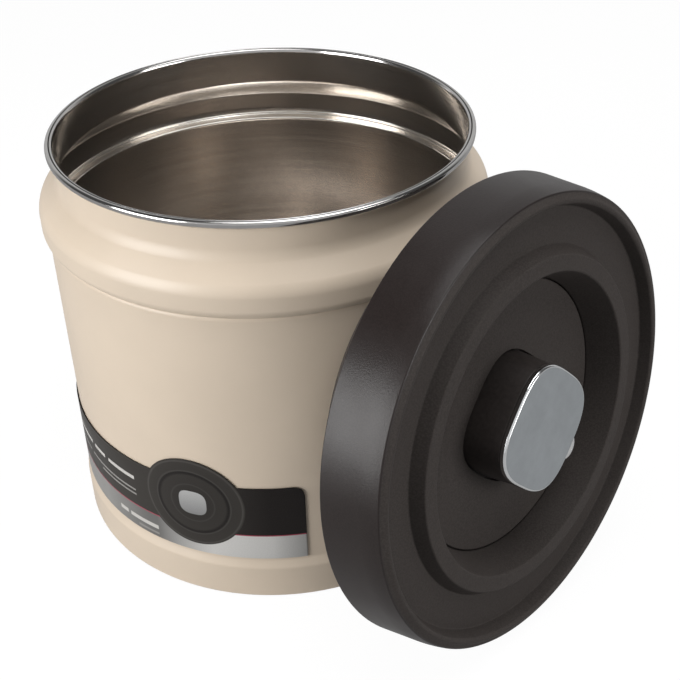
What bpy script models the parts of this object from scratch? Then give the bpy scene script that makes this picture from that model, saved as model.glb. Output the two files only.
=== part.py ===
"""Vacuum coffee canister: a steel canister with its pump lid leaning against it.

Metres, +Z up. The origin is the middle of the canister's foot pad, on the floor. The lid
stands on its skirt and leans back on the canister's shoulder. Lid pieces are modelled on
the lid's own axis, where height zero is the top of the raised ring, and hang from one empty.
"""

import math

import bmesh
import bpy
from mathutils import Matrix, Vector

# Fit and fineness
GAP = 0.0003
OVERRUN = 0.002
MERGE = 0.00001
ROUND_STEPS = 48
SMALL_STEPS = 24
TINY_STEPS = 12
HOLE_STEPS = 8

# Canister
VESSEL_HEIGHT = 0.1502
SHEET = 0.0006
RIM_RADIUS = 0.0740
BEAD_RADIUS = 0.00134
NECK_RADIUS = 0.0718
NECK_DROP = 0.0104
SHOULDER_RADIUS = 0.0792
SHOULDER_TOP_DROP = 0.0228
SHOULDER_END_DROP = 0.0280
SEAM_DROP = 0.0313
SEAM_DEPTH = 0.0004
SEAM_RISE = 0.0009
BODY_RADIUS = 0.0773
FLARE_TOP = 0.0172
FOOT_TOP = 0.0130
FOOT_RADIUS = 0.0786
FOOT_EDGE = 0.0008
FLANGE_REACH = 0.0086
PAD_STANDOFF = 0.0003
FLOOR_HEIGHT = 0.0046
FLOOR_SHEET = 0.0010
FLOOR_RISE = 0.0010
FLOOR_STEP = 0.0100
BASE_PLATE = 0.0014
PAD_CHAMFER = 0.0004

# Shape of the curved parts of the wall, as shares of each part's width and height
SHOULDER_SHARES = ((0.0, 0.0), (0.07, 0.18), (0.30, 0.37), (0.70, 0.64), (0.93, 0.81), (1.0, 1.0))
TURN_SHARES = ((0.0, 0.0), (0.13, 0.34), (0.48, 0.72), (1.0, 1.0))
FLARE_SHARES = ((0.0, 0.0), (0.15, 0.33), (0.50, 0.62), (0.87, 0.86), (1.0, 1.0))

# Label
LABEL_THICKNESS = 0.0003
LABEL_RIGHT = math.radians(-81.4)
LABEL_SWEEP = math.radians(106.0)
LABEL_BOTTOM = 0.0176
LABEL_TOP = 0.0506
LABEL_CORNER = 0.0040
MEDAL_ANGLE = math.radians(-110.8)
MEDAL_RADIUS = 0.0190
MEDAL_HEIGHT = 0.0410
LABEL_COLUMNS = 48

# Where the lid leans
LID_AZIMUTH = math.radians(-43.3)
LID_LEAN = math.radians(7.2)
LID_SIDE_STEP = 0.0025
LID_TURN = math.radians(45.0)

# Lid cover
RING_OUTER = 0.0560
RING_WIDTH = 0.0054
RING_SLOPE = 0.0025
RING_EDGE = 0.0005
ANNULUS_DROP = 0.0044
RIM_ROOM = 0.0010
LIP_SETBACK = 0.0036
LIP_WIDTH = 0.0018
LIP_SLOPE = 0.0019
LIP_RISE = 0.0003
LIP_EDGE = 0.0013
SKIRT_TOP_DROP = 0.0132
SKIRT_FLARE = 0.0009
SKIRT_DROP = 0.0205
SKIRT_WALL = 0.0020
COVER_WALL = 0.0026
WELL_DEPTH = 0.01115
WELL_DRAFT = 0.0047
WELL_CLEARANCE = 0.0005
WELL_PLATE = 0.0020
LEDGE_REACH = 0.0040
LEDGE_THICKNESS = 0.0017
SKIRT_ROUND_ANGLES = (62.0, 38.0, 18.0, 0.0)

# Pump button
BUTTON_HALF = 0.0206
BUTTON_POWER = 3.0
BUTTON_TAPER = 0.0009
BUTTON_CLEARANCE = 0.0005
COLUMN_WALL = 0.0018
COLUMN_TOP = 0.0020
COLUMN_LIP = 0.0026
COLUMN_FLANGE = 0.0014
CAP_RISE = 0.0035
CAP_THICKNESS = 0.0019
CAP_BEVEL = 0.0007
CAP_OVERLAP = 0.0003
BUTTON_TRAVEL = 0.0090

# Pump
CYLINDER_RADIUS = 0.0170
CYLINDER_WALL = 0.0016
CYLINDER_FLANGE = 0.0240
FLANGE_THICKNESS = 0.0018
GUIDE_THICKNESS = 0.0012
GUIDE_LIP = 0.0012
ROD_RADIUS = 0.0040
ROD_CLEARANCE = 0.0003
PISTON_CLEARANCE = 0.0005
PISTON_HEIGHT = 0.0025
GROOVE_DEPTH = 0.0015
GROOVE_SHARES = (0.28, 0.72)
SEAL_CLEARANCE = 0.0002
FLAP_THICKNESS = 0.0005
FLAP_RADIUS = 0.0105
VENT_RADIUS = 0.0012
VENT_COUNT = 4
PISTON_VENT_CIRCLE = 0.0075
PUMP_CLEARANCE = 0.0006
VALVE_RADIUS = 0.0078
VALVE_HEIGHT = 0.0018
VALVE_LIP = 0.0006
VALVE_STEM = 0.0014
VALVE_BULB = 0.0021
VALVE_BULB_DROP = 0.0006
INTAKE_VENT_CIRCLE = 0.0045
STEM_CLEARANCE = 0.0003

# Springs
SPRING_SOLID = 0.0043
SPRING_RADIUS = 0.0100
SPRING_WIRE = 0.0004
SPRING_TURNS = 4.5
RELEASE_SPRING_RADIUS = 0.0033
RELEASE_SPRING_WIRE = 0.00025
RELEASE_SPRING_TURNS = 5.5
TURN_POINTS = 10

# Liner and its gasket
PLUG_CLEARANCE = 0.0016
LINER_TAPER = 0.0090
LINER_WALL = 0.0022
LINER_SIDE_WALL = 0.0046
LINER_FOOT = 0.0166
LINER_RECESS = 0.0030
LINER_EDGE = 0.0030
GROOVE_TOP_DROP = 0.0105
GASKET_HEIGHT = 0.0052
GASKET_SEAT = 0.0024
GASKET_LIP = 0.0014
GASKET_LIP_THICKNESS = 0.0012
GASKET_ROOT_SHARE = 1.5

# Release valve
KNOB_OFFSET = 0.0325
KNOB_RADIUS = 0.0052
KNOB_RISE = 0.0070
KNOB_EDGE = 0.0010
KNOB_EDGE_SHARE = 0.3
KNOB_CLEARANCE = 0.0004
STEM_RADIUS = 0.0018
STEM_COLLAR = 0.0064
COLLAR_THICKNESS = 0.0012
SPRING_COLLAR = 0.0046
SPRING_COLLAR_DROP = 0.0092
PLUG_RADIUS = 0.0055
PLUG_THICKNESS = 0.0018

# Screen under the intake
HOLDER_RADIUS = 0.0130
HOLDER_HEIGHT = 0.0024
HOLDER_WALL = 0.0017
HOLDER_LIP = 0.0018
HOLDER_LIP_THICKNESS = 0.0006
SCREEN_THICKNESS = 0.0003

# Screws and the posts that they bite in
SCREW_COUNT = 3
SCREW_TURN = math.radians(100.0)
POST_RADIUS = 0.0032
LINER_SCREW_HEAD = 0.0028
LINER_SCREW_HEAD_HEIGHT = 0.0016
LINER_SCREW_SHANK = 0.0011
LINER_SCREW_LENGTH = 0.0085
SCREW_CLEARANCE = 0.0003
CYLINDER_SCREW_CIRCLE = 0.0205
CYLINDER_SCREW_HEAD = 0.0021
CYLINDER_SCREW_HEAD_HEIGHT = 0.0014
CYLINDER_SCREW_SHANK = 0.0008
CYLINDER_SCREW_BITE = 0.0012

# Radii that follow from the rim, the neck and the foot
FLANGE_RADIUS = FOOT_RADIUS - FLANGE_REACH
SKIRT_TOP_RADIUS = RIM_RADIUS + RIM_ROOM + COVER_WALL
SKIRT_RADIUS = SKIRT_TOP_RADIUS + SKIRT_FLARE
LIP_RADIUS = SKIRT_TOP_RADIUS - LIP_SETBACK
LIP_INNER = LIP_RADIUS - LIP_WIDTH
LIP_BASE = LIP_INNER - LIP_SLOPE
RING_INNER = RING_OUTER - RING_WIDTH
RING_BASE = RING_OUTER + RING_SLOPE
WELL_RADIUS = RING_INNER - WELL_DRAFT
LINER_RADIUS = NECK_RADIUS - SHEET - PLUG_CLEARANCE
LINER_END_RADIUS = LINER_RADIUS - LINER_TAPER
LINER_FOOT_INNER = LINER_END_RADIUS - LINER_FOOT

# Heights on the lid's axis, worked out from the top down
PLATE_TOP = -WELL_DEPTH
PLATE_BOTTOM = PLATE_TOP - WELL_PLATE
LEDGE_TOP = PLATE_BOTTOM - GAP
LEDGE_BOTTOM = LEDGE_TOP - LEDGE_THICKNESS
ANNULUS_UNDER = -ANNULUS_DROP - COVER_WALL
COLUMN_UPPER = CAP_RISE - CAP_THICKNESS - GAP
COLUMN_CEILING = COLUMN_UPPER - COLUMN_TOP
FLANGE_UPPER = PLATE_BOTTOM - GAP
FLANGE_LOWER = FLANGE_UPPER - COLUMN_FLANGE
GUIDE_TOP = COLUMN_CEILING - BUTTON_TRAVEL - SPRING_SOLID
GUIDE_BOTTOM = GUIDE_TOP - GUIDE_THICKNESS
PISTON_TOP = GUIDE_BOTTOM - GUIDE_LIP - GAP
PISTON_BOTTOM = PISTON_TOP - PISTON_HEIGHT
VALVE_TOP = PISTON_BOTTOM - BUTTON_TRAVEL - PUMP_CLEARANCE
LINER_FLOOR = VALVE_TOP - VALVE_HEIGHT - GAP
LINER_UNDER = LINER_FLOOR - LINER_WALL
PLUG_DEPTH = LINER_RECESS - LINER_UNDER

# Other sizes that follow from the ones above
CYLINDER_BORE = CYLINDER_RADIUS - CYLINDER_WALL
PISTON_RADIUS = CYLINDER_BORE - PISTON_CLEARANCE
LEDGE_INNER = WELL_RADIUS - LEDGE_REACH
POST_CIRCLE = LEDGE_INNER - WELL_CLEARANCE - POST_RADIUS


def material(name, colour, roughness, metallic=0.0):
    """One Principled surface with a plain colour."""
    surface = bpy.data.materials.new(name)
    surface.use_nodes = True
    shader = surface.node_tree.nodes["Principled BSDF"]
    shader.inputs["Base Color"].default_value = (*colour, 1.0)
    shader.inputs["Roughness"].default_value = roughness
    shader.inputs["Metallic"].default_value = metallic
    surface.diffuse_color = (*colour, 1.0)
    return surface


BEIGE = (0.66, 0.58, 0.47)
STEEL = (0.55, 0.54, 0.52)
BROWN = (0.045, 0.038, 0.035)
BLACK = (0.012, 0.011, 0.011)
CHROME = (0.72, 0.73, 0.74)
SILICONE = (0.62, 0.61, 0.58)
RUBBER = (0.05, 0.05, 0.05)
PRINT = (0.04, 0.035, 0.035)
WHITE = (0.75, 0.74, 0.72)


class Workshop:
    """Makes objects and files them in the canister's collection or the cutters' one."""

    def __init__(self):
        for old in list(bpy.data.objects):
            bpy.data.objects.remove(old, do_unlink=True)
        self.parts = bpy.data.collections.new("vacuum_canister")
        self.cutters = bpy.data.collections.new("cutters")
        for group in (self.parts, self.cutters):
            bpy.context.scene.collection.children.link(group)

    def add(self, name, data, surface=None, parent=None, cutter=False):
        """Wrap a mesh, a curve or nothing in an object."""
        obj = bpy.data.objects.new(name, data)
        (self.cutters if cutter else self.parts).objects.link(obj)
        obj.parent = parent
        if cutter:
            obj.hide_render = True
            obj.display_type = "WIRE"
        if surface is not None:
            data.materials.append(surface)
        return obj

    def empty(self, name, parent=None, matrix=None):
        """An empty that carries other pieces."""
        obj = self.add(name, None, parent=parent)
        if matrix is not None:
            obj.matrix_local = matrix
        return obj

    def turned(self, name, profile, surface=None, parent=None, steps=ROUND_STEPS, closed=True, cutter=False):
        """Turn a profile of (radius, height) points, which runs down its outer side, about Z.

        A closed profile makes a ring. An open one starts and ends on the axis.
        """
        mesh = bpy.data.meshes.new(name)
        points = [(radius, 0.0, height) for radius, height in profile]
        last = len(points)
        edges = [(i, (i + 1) % last) for i in range(last if closed else last - 1)]
        mesh.from_pydata(points, edges, [])
        obj = self.add(name, mesh, surface, parent, cutter)
        screw = obj.modifiers.new("turn", "SCREW")
        screw.axis = "Z"
        screw.angle = math.tau
        screw.steps = steps
        screw.render_steps = steps
        screw.use_merge_vertices = True
        screw.merge_threshold = MERGE
        return obj

    def shaped(self, name, build, surface=None, parent=None, cutter=False, solid=True):
        """Run build on an empty bmesh and wrap the result."""
        mesh = bpy.data.meshes.new(name)
        shape = bmesh.new()
        build(shape)
        if solid:
            bmesh.ops.recalc_face_normals(shape, faces=shape.faces)
            if shape.calc_volume(signed=True) < 0.0:
                bmesh.ops.reverse_faces(shape, faces=shape.faces)
        shape.to_mesh(mesh)
        shape.free()
        mesh.shade_smooth()
        mesh.set_sharp_from_angle(angle=math.radians(35.0))
        return self.add(name, mesh, surface, parent, cutter)

    def coil(self, name, radius, wire, turns, low, high, surface, parent):
        """A spring that climbs from low to high at a steady rate."""
        curve = bpy.data.curves.new(name, "CURVE")
        curve.dimensions = "3D"
        curve.bevel_depth = wire
        curve.bevel_resolution = 1
        curve.use_fill_caps = True
        spline = curve.splines.new("POLY")
        count = int(turns * TURN_POINTS)
        spline.points.add(count)
        for i, point in enumerate(spline.points):
            angle = math.tau * turns * i / count
            height = low + wire + (high - low - wire - wire) * i / count
            point.co = (radius * math.cos(angle), radius * math.sin(angle), height, 1.0)
        return self.add(name, curve, surface, parent)


def boolean(obj, tool, operation="DIFFERENCE"):
    """Cut obj with tool, or join tool to it."""
    cut = obj.modifiers.new(tool.name, "BOOLEAN")
    cut.operation = operation
    cut.solver = "EXACT"
    cut.object = tool


def arc(centre, radii, degrees):
    """Points of an elliptic arc at the given angles."""
    middle, height = centre
    across, up = radii
    angles = [math.radians(value) for value in degrees]
    return [(middle + across * math.cos(a), height + up * math.sin(a)) for a in angles]


def blend(start, end, shares):
    """Points between two corners, given as shares of the width and the height."""
    (radius_a, height_a), (radius_b, height_b) = start, end
    width, drop = radius_b - radius_a, height_b - height_a
    return [(radius_a + width * across, height_a + drop * down) for across, down in shares]


def inset(path, distance):
    """The path moved sideways, towards the inside of a wall that runs down its outer side."""
    moved = []
    for i, (radius, height) in enumerate(path):
        before = path[max(i - 1, 0)]
        after = path[min(i + 1, len(path) - 1)]
        run, rise = after[0] - before[0], after[1] - before[1]
        length = math.hypot(run, rise)
        moved.append((radius + distance * rise / length, height - distance * run / length))
    return moved


def around(count, circle, turn=0.0):
    """Places evenly spread on a circle."""
    angles = [turn + math.tau * i / count for i in range(count)]
    return [(circle * math.cos(a), circle * math.sin(a)) for a in angles]


def pins(shop, name, places, sections, parent, steps=TINY_STEPS, surface=None, cutter=True):
    """The same stepped round solid at each of several places, in one object."""

    def build(shape):
        for place in places:
            closed_stack(shape, place, sections, steps)

    return shop.shaped(name, build, surface, parent, cutter)


def round_ring(shape, radius, height, place=(0.0, 0.0), steps=ROUND_STEPS):
    """A ring of vertices on a circle."""
    spot = Matrix.Translation((*place, height))
    made = bmesh.ops.create_circle(shape, cap_ends=False, segments=steps, radius=radius, matrix=spot)
    return made["verts"]


def ring_edges(ring):
    """The edges that run round a ring of vertices."""
    inside = set(ring)
    return list({e for v in ring for e in v.link_edges if e.other_vert(v) in inside})


def squircle_ring(shape, half, height):
    """A ring of vertices on a rounded square whose flats face X and Y."""
    ring = round_ring(shape, 1.0, height)
    power = 2.0 / BUTTON_POWER
    for vertex in ring:
        x, y = vertex.co.x, vertex.co.y
        vertex.co.x = math.copysign(half * abs(x) ** power, x)
        vertex.co.y = math.copysign(half * abs(y) ** power, y)
    return ring


def drawn_on(shape, edges, move):
    """Extrude a ring of edges, move the new vertices and return the new ring's edges."""
    made = bmesh.ops.extrude_edge_only(shape, edges=edges)["geom"]
    for piece in made:
        if isinstance(piece, bmesh.types.BMVert):
            move(piece)
    return [piece for piece in made if isinstance(piece, bmesh.types.BMEdge) and piece.is_boundary]


def draw_through(shape, ring, sections, place=(0.0, 0.0)):
    """Cap a ring, draw it through the other (size, height) sections and cap the last one."""
    middle = Vector((*place, 0.0))
    edges = ring_edges(ring)
    bmesh.ops.contextual_create(shape, geom=edges)
    for (size, _), (next_size, height) in zip(sections, sections[1:]):

        def move(vertex, growth=next_size / size, level=height):
            vertex.co = middle + (vertex.co - middle) * growth
            vertex.co.z = level

        edges = drawn_on(shape, edges, move)
    bmesh.ops.contextual_create(shape, geom=edges)


def closed_stack(shape, place, sections, steps):
    """A closed stepped round solid."""
    radius, height = sections[0]
    draw_through(shape, round_ring(shape, radius, height, place, steps), sections, place)


def squircle_stack(shape, sections):
    """A closed rounded square drawn through (half width, height) sections."""
    half, height = sections[0]
    draw_through(shape, squircle_ring(shape, half, height), sections)


# Canister


def wall_outside():
    """The wall's outer path, from under the rim bead down to the edge of the foot's flange."""
    neck_top = VESSEL_HEIGHT - BEAD_RADIUS * 2
    path = [(NECK_RADIUS, neck_top)]
    path += blend(
        (NECK_RADIUS, VESSEL_HEIGHT - NECK_DROP),
        (SHOULDER_RADIUS, VESSEL_HEIGHT - SHOULDER_TOP_DROP),
        SHOULDER_SHARES,
    )
    seam = (BODY_RADIUS - SEAM_DEPTH, VESSEL_HEIGHT - SEAM_DROP)
    path += blend((SHOULDER_RADIUS, VESSEL_HEIGHT - SHOULDER_END_DROP), seam, TURN_SHARES)
    path.append((BODY_RADIUS, VESSEL_HEIGHT - SEAM_DROP - SEAM_RISE))
    path += blend((BODY_RADIUS, FLARE_TOP), (FOOT_RADIUS, FOOT_TOP), FLARE_SHARES)
    corner = (FOOT_RADIUS - FOOT_EDGE, PAD_STANDOFF + FOOT_EDGE)
    path += arc(corner, (FOOT_EDGE, FOOT_EDGE), (0.0, -35.0, -65.0, -90.0))
    path.append((FLANGE_RADIUS, PAD_STANDOFF))
    return path


def wall_profile():
    """The whole section of the wall, with its solid rolled bead at the rim."""
    outside = wall_outside()
    bead = (RIM_RADIUS - BEAD_RADIUS, VESSEL_HEIGHT - BEAD_RADIUS)
    radii = (BEAD_RADIUS, BEAD_RADIUS)
    outer_bead = arc(bead, radii, (90.0, 45.0, 0.0, -50.0))
    inner_bead = arc(bead, radii, (180.0, 135.0))
    return outer_bead + outside + inset(outside, SHEET)[::-1] + inner_bead


def build_vessel(shop):
    """The canister's wall, floor, base plate and pad."""
    paint = material("vessel_wall", BEIGE, 0.42)
    shop.turned("vessel_wall", wall_profile(), paint)

    floor_radius = FOOT_RADIUS - SHEET - GAP
    floor_top = [
        (0.0, FLOOR_HEIGHT + FLOOR_SHEET + FLOOR_RISE),
        (floor_radius - FLOOR_STEP, FLOOR_HEIGHT + FLOOR_SHEET + FLOOR_RISE),
        (floor_radius - FLOOR_STEP + FLOOR_RISE, FLOOR_HEIGHT + FLOOR_SHEET),
        (floor_radius, FLOOR_HEIGHT + FLOOR_SHEET),
    ]
    floor_under = [(radius, height - FLOOR_SHEET) for radius, height in reversed(floor_top)]
    bare_steel = material("vessel_floor", STEEL, 0.3, 1.0)
    shop.turned("vessel_floor", floor_top + floor_under, bare_steel, closed=False)

    plate_bottom = PAD_STANDOFF + SHEET + GAP
    plate_radius = FOOT_RADIUS - FOOT_EDGE - SHEET - GAP
    plate = [
        (0.0, plate_bottom + BASE_PLATE),
        (plate_radius, plate_bottom + BASE_PLATE),
        (plate_radius, plate_bottom),
        (0.0, plate_bottom),
    ]
    shop.turned("base_plate", plate, material("base_plate", BEIGE, 0.5), closed=False)

    pad_radius = FLANGE_RADIUS - GAP
    pad = [
        (0.0, plate_bottom - GAP),
        (pad_radius, plate_bottom - GAP),
        (pad_radius, PAD_CHAMFER),
        (pad_radius - PAD_CHAMFER, 0.0),
        (0.0, 0.0),
    ]
    shop.turned("base_pad", pad, material("base_pad", RUBBER, 0.8), closed=False)


def label_top(angle, radius):
    """Height of the label's upper edge: a straight band, rounded corners and a round bulge."""
    side = min(LABEL_RIGHT - angle, angle - LABEL_RIGHT + LABEL_SWEEP) * radius
    height = LABEL_TOP
    if side < LABEL_CORNER:
        reach = LABEL_CORNER - side
        height -= LABEL_CORNER - math.sqrt(max(LABEL_CORNER**2 - reach**2, 0.0))
    across = (angle - MEDAL_ANGLE) * radius
    if abs(across) < MEDAL_RADIUS:
        height = max(height, MEDAL_HEIGHT + math.sqrt(MEDAL_RADIUS**2 - across**2))
    return height


def build_label(shop):
    """A thin sticker wrapped round the body."""
    radius = BODY_RADIUS + GAP

    def build(shape):
        bmesh.ops.create_grid(shape, x_segments=LABEL_COLUMNS, y_segments=2, size=1.0)
        for vertex in shape.verts:
            share_along = (vertex.co.x + 1.0) / 2.0
            share_up = (vertex.co.y + 1.0) / 2.0
            angle = LABEL_RIGHT - LABEL_SWEEP * (1.0 - share_along)
            height = LABEL_BOTTOM + (label_top(angle, radius) - LABEL_BOTTOM) * share_up
            vertex.co = (radius * math.cos(angle), radius * math.sin(angle), height)

    label = shop.shaped("label", build, material("label", PRINT, 0.3), solid=False)
    skin = label.modifiers.new("skin", "SOLIDIFY")
    skin.thickness = LABEL_THICKNESS
    skin.offset = 1.0


# Lid


def wall_radius(height):
    """Outer radius of the canister's wall at a height."""
    path = wall_outside()
    for (radius_a, above), (radius_b, below) in zip(path, path[1:]):
        if below <= height < above:
            return radius_b + (radius_a - radius_b) * (height - below) / (above - below)
    return 0.0


def back_depth(rise):
    """Depth of the lid's back below the ring's top, at a distance from the lid's axis."""
    if abs(rise) < LINER_FOOT_INNER:
        return HOLDER_HEIGHT + GAP - LINER_UNDER if abs(rise) < HOLDER_RADIUS else -LINER_UNDER
    return PLUG_DEPTH


def lid_matrix():
    """The lid stands on its skirt's edge and its liner rests on the canister's shoulder."""
    lean_cos, lean_sin = math.cos(LID_LEAN), math.sin(LID_LEAN)
    height = SKIRT_RADIUS * lean_cos + SKIRT_DROP * lean_sin
    foot_outer = LINER_END_RADIUS - LINER_EDGE / 2.0
    touches = [(r, z) for r, z in wall_outside() if abs(z - height) < foot_outer * lean_cos]
    for rise in (LINER_FOOT_INNER * lean_cos, foot_outer * lean_cos):
        touches.append((wall_radius(height + rise), height + rise))
    rim_height = VESSEL_HEIGHT - BEAD_RADIUS
    if rim_height < height + foot_outer * lean_cos:
        touches.append((RIM_RADIUS, rim_height))
    away = max(
        r + ((z - height) * lean_sin + back_depth((z - height) / lean_cos) + GAP) / lean_cos
        for r, z in touches
    )
    out = (math.cos(LID_AZIMUTH), math.sin(LID_AZIMUTH))
    middle = (
        away * out[0] + LID_SIDE_STEP * out[1],
        away * out[1] - LID_SIDE_STEP * out[0],
        height,
    )
    tip = Matrix.Rotation(math.pi / 2.0 - LID_LEAN, 4, "Y")
    swing = Matrix.Rotation(LID_AZIMUTH, 4, "Z")
    upright = Matrix.Rotation(math.pi / 2.0 + LID_TURN, 4, "Z")
    return Matrix.Translation(middle) @ swing @ tip @ upright


def cover_profile():
    """The cover's section: ring, annulus, lip and skirt outside, even wall thickness inside."""
    well = WELL_RADIUS + WELL_CLEARANCE
    lip_width = SKIRT_TOP_RADIUS - LIP_RADIUS
    lip_fall = SKIRT_TOP_DROP + LIP_RISE
    shoulder = arc((LIP_RADIUS, -SKIRT_TOP_DROP), (lip_width, lip_fall), SKIRT_ROUND_ANGLES)
    seat = LIP_BASE + SKIRT_WALL
    return [
        (RING_INNER, 0.0),
        (RING_OUTER - RING_EDGE, 0.0),
        (RING_OUTER, -RING_EDGE),
        (RING_BASE, -ANNULUS_DROP),
        (LIP_BASE, -ANNULUS_DROP),
        (LIP_INNER, LIP_RISE - LIP_EDGE),
        (LIP_RADIUS, LIP_RISE),
        *shoulder,
        (SKIRT_RADIUS, -SKIRT_DROP),
        (SKIRT_RADIUS - SKIRT_WALL, -SKIRT_DROP),
        (SKIRT_TOP_RADIUS - SKIRT_WALL, -SKIRT_TOP_DROP),
        (SKIRT_TOP_RADIUS - COVER_WALL, ANNULUS_UNDER),
        (seat, ANNULUS_UNDER),
        (RING_BASE, ANNULUS_UNDER),
        (RING_OUTER - RING_EDGE, -COVER_WALL),
        (RING_INNER + COVER_WALL, -COVER_WALL),
        (well + COVER_WALL, LEDGE_BOTTOM),
        (LEDGE_INNER, LEDGE_BOTTOM),
        (LEDGE_INNER, LEDGE_TOP),
        (well, LEDGE_TOP),
        (well, PLATE_TOP),
    ]


def plate_ring(shape, opening_half):
    """A round plate with a rounded-square opening."""

    def to_round(vertex, height):
        vertex.co *= WELL_RADIUS / math.hypot(vertex.co.x, vertex.co.y)
        vertex.co.z = height

    def to_opening(vertex):
        powers = abs(vertex.co.x) ** BUTTON_POWER + abs(vertex.co.y) ** BUTTON_POWER
        vertex.co *= opening_half / powers ** (1.0 / BUTTON_POWER)
        vertex.co.z = PLATE_BOTTOM

    opening = ring_edges(squircle_ring(shape, opening_half, PLATE_TOP))
    edges = drawn_on(shape, opening, lambda vertex: to_round(vertex, PLATE_TOP))
    edges = drawn_on(shape, edges, lambda vertex: to_round(vertex, PLATE_BOTTOM))
    edges = drawn_on(shape, edges, to_opening)
    bmesh.ops.bridge_loops(shape, edges=edges + [edge for edge in opening if edge.is_boundary])


def build_cover(shop, lid):
    """The cover and the plate in its well."""
    brown = material("lid_cover", BROWN, 0.5)
    shop.turned("lid_cover", cover_profile(), brown, lid)

    opening_half = BUTTON_HALF + BUTTON_CLEARANCE
    plate_brown = material("well_plate", BROWN, 0.5)
    plate = shop.shaped("well_plate", lambda shape: plate_ring(shape, opening_half), plate_brown, lid)
    cut_low, cut_high = PLATE_BOTTOM - OVERRUN, PLATE_TOP + OVERRUN
    knob_hole = KNOB_RADIUS + KNOB_CLEARANCE
    knob_spot = [(0.0, -KNOB_OFFSET)]
    boolean(plate, pins(shop, "knob_opening", knob_spot, [(knob_hole, cut_low), (knob_hole, cut_high)], lid))

    spots = around(SCREW_COUNT, POST_CIRCLE, SCREW_TURN)
    middle_of_plate = (PLATE_TOP + PLATE_BOTTOM) / 2.0
    post_foot = LINER_FLOOR + GAP
    posts = pins(shop, "plate_posts", spots, [(POST_RADIUS, post_foot), (POST_RADIUS, middle_of_plate)], lid)
    boolean(plate, posts, "UNION")
    pilot = LINER_SCREW_SHANK + GAP
    pilot_top = LINER_UNDER + LINER_SCREW_LENGTH + GAP
    pilots = pins(shop, "post_pilots", spots, [(pilot, post_foot - OVERRUN), (pilot, pilot_top)], lid)
    boolean(plate, pilots)


def gasket_levels():
    """Top and bottom of the gasket's groove."""
    top = -GROOVE_TOP_DROP
    return top, top - GASKET_HEIGHT


def build_liner(shop, lid):
    """The plug that enters the neck, its gasket and its valves' seats."""
    groove_top, groove_bottom = gasket_levels()
    groove_floor = LINER_RADIUS - GASKET_SEAT
    inside = LINER_RADIUS - LINER_SIDE_WALL
    foot = -PLUG_DEPTH
    step = LINER_FOOT_INNER
    wall_inner_end = LINER_END_RADIUS - LINER_WALL
    profile = [
        (LINER_RADIUS, ANNULUS_UNDER - GAP),
        (LINER_RADIUS, groove_top),
        (groove_floor, groove_top),
        (groove_floor, groove_bottom),
        (LINER_RADIUS, groove_bottom),
        (LINER_END_RADIUS + LINER_EDGE / 2.0, foot + LINER_EDGE),
        (LINER_END_RADIUS, foot + LINER_EDGE / 4.0),
        (LINER_END_RADIUS - LINER_EDGE / 2.0, foot),
        (step, foot),
        (step, LINER_UNDER),
        (0.0, LINER_UNDER),
        (0.0, LINER_FLOOR),
        (step - LINER_WALL, LINER_FLOOR),
        (step, foot + LINER_WALL),
        (wall_inner_end, foot + LINER_WALL),
        (inside, groove_bottom),
        (inside, ANNULUS_UNDER - GAP),
    ]
    start = profile.index((0.0, LINER_FLOOR))
    path = profile[start:] + profile[:start]
    liner = shop.turned("lid_liner", path, material("lid_liner", BROWN, 0.5), lid, closed=False)

    low, high = LINER_UNDER - OVERRUN, LINER_FLOOR + OVERRUN
    posts = around(SCREW_COUNT, POST_CIRCLE, SCREW_TURN)
    through = {
        "liner_screw_holes": (posts, LINER_SCREW_SHANK + SCREW_CLEARANCE),
        "intake_vents": (around(VENT_COUNT, INTAKE_VENT_CIRCLE), VENT_RADIUS),
        "intake_stem_hole": ([(0.0, 0.0)], VALVE_STEM + STEM_CLEARANCE),
        "release_hole": ([(0.0, -KNOB_OFFSET)], STEM_RADIUS + VENT_RADIUS),
    }
    for name, (places, radius) in through.items():
        boolean(liner, pins(shop, name, places, [(radius, low), (radius, high)], lid))
    blind = LINER_FLOOR - CYLINDER_SCREW_BITE - GAP
    bite = CYLINDER_SCREW_SHANK + GAP
    spots = around(SCREW_COUNT, CYLINDER_SCREW_CIRCLE, SCREW_TURN)
    blind_hole = [(bite, blind), (bite, high)]
    boolean(liner, pins(shop, "cylinder_screw_holes", spots, blind_hole, lid, HOLE_STEPS))

    seat = groove_floor + GAP
    top, bottom = groove_top - GAP, groove_bottom + GAP
    lip = LINER_RADIUS + GASKET_LIP
    neck = LINER_RADIUS
    gasket = [
        (seat, top),
        (lip - GASKET_LIP_THICKNESS, top),
        (lip, top - GASKET_LIP_THICKNESS),
        (neck, top - GASKET_LIP_THICKNESS * GASKET_ROOT_SHARE),
        (neck, bottom + GASKET_LIP_THICKNESS * GASKET_ROOT_SHARE),
        (lip, bottom + GASKET_LIP_THICKNESS),
        (lip - GASKET_LIP_THICKNESS, bottom),
        (seat, bottom),
    ]
    shop.turned("lid_gasket", gasket, material("lid_gasket", SILICONE, 0.55), lid)


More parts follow.
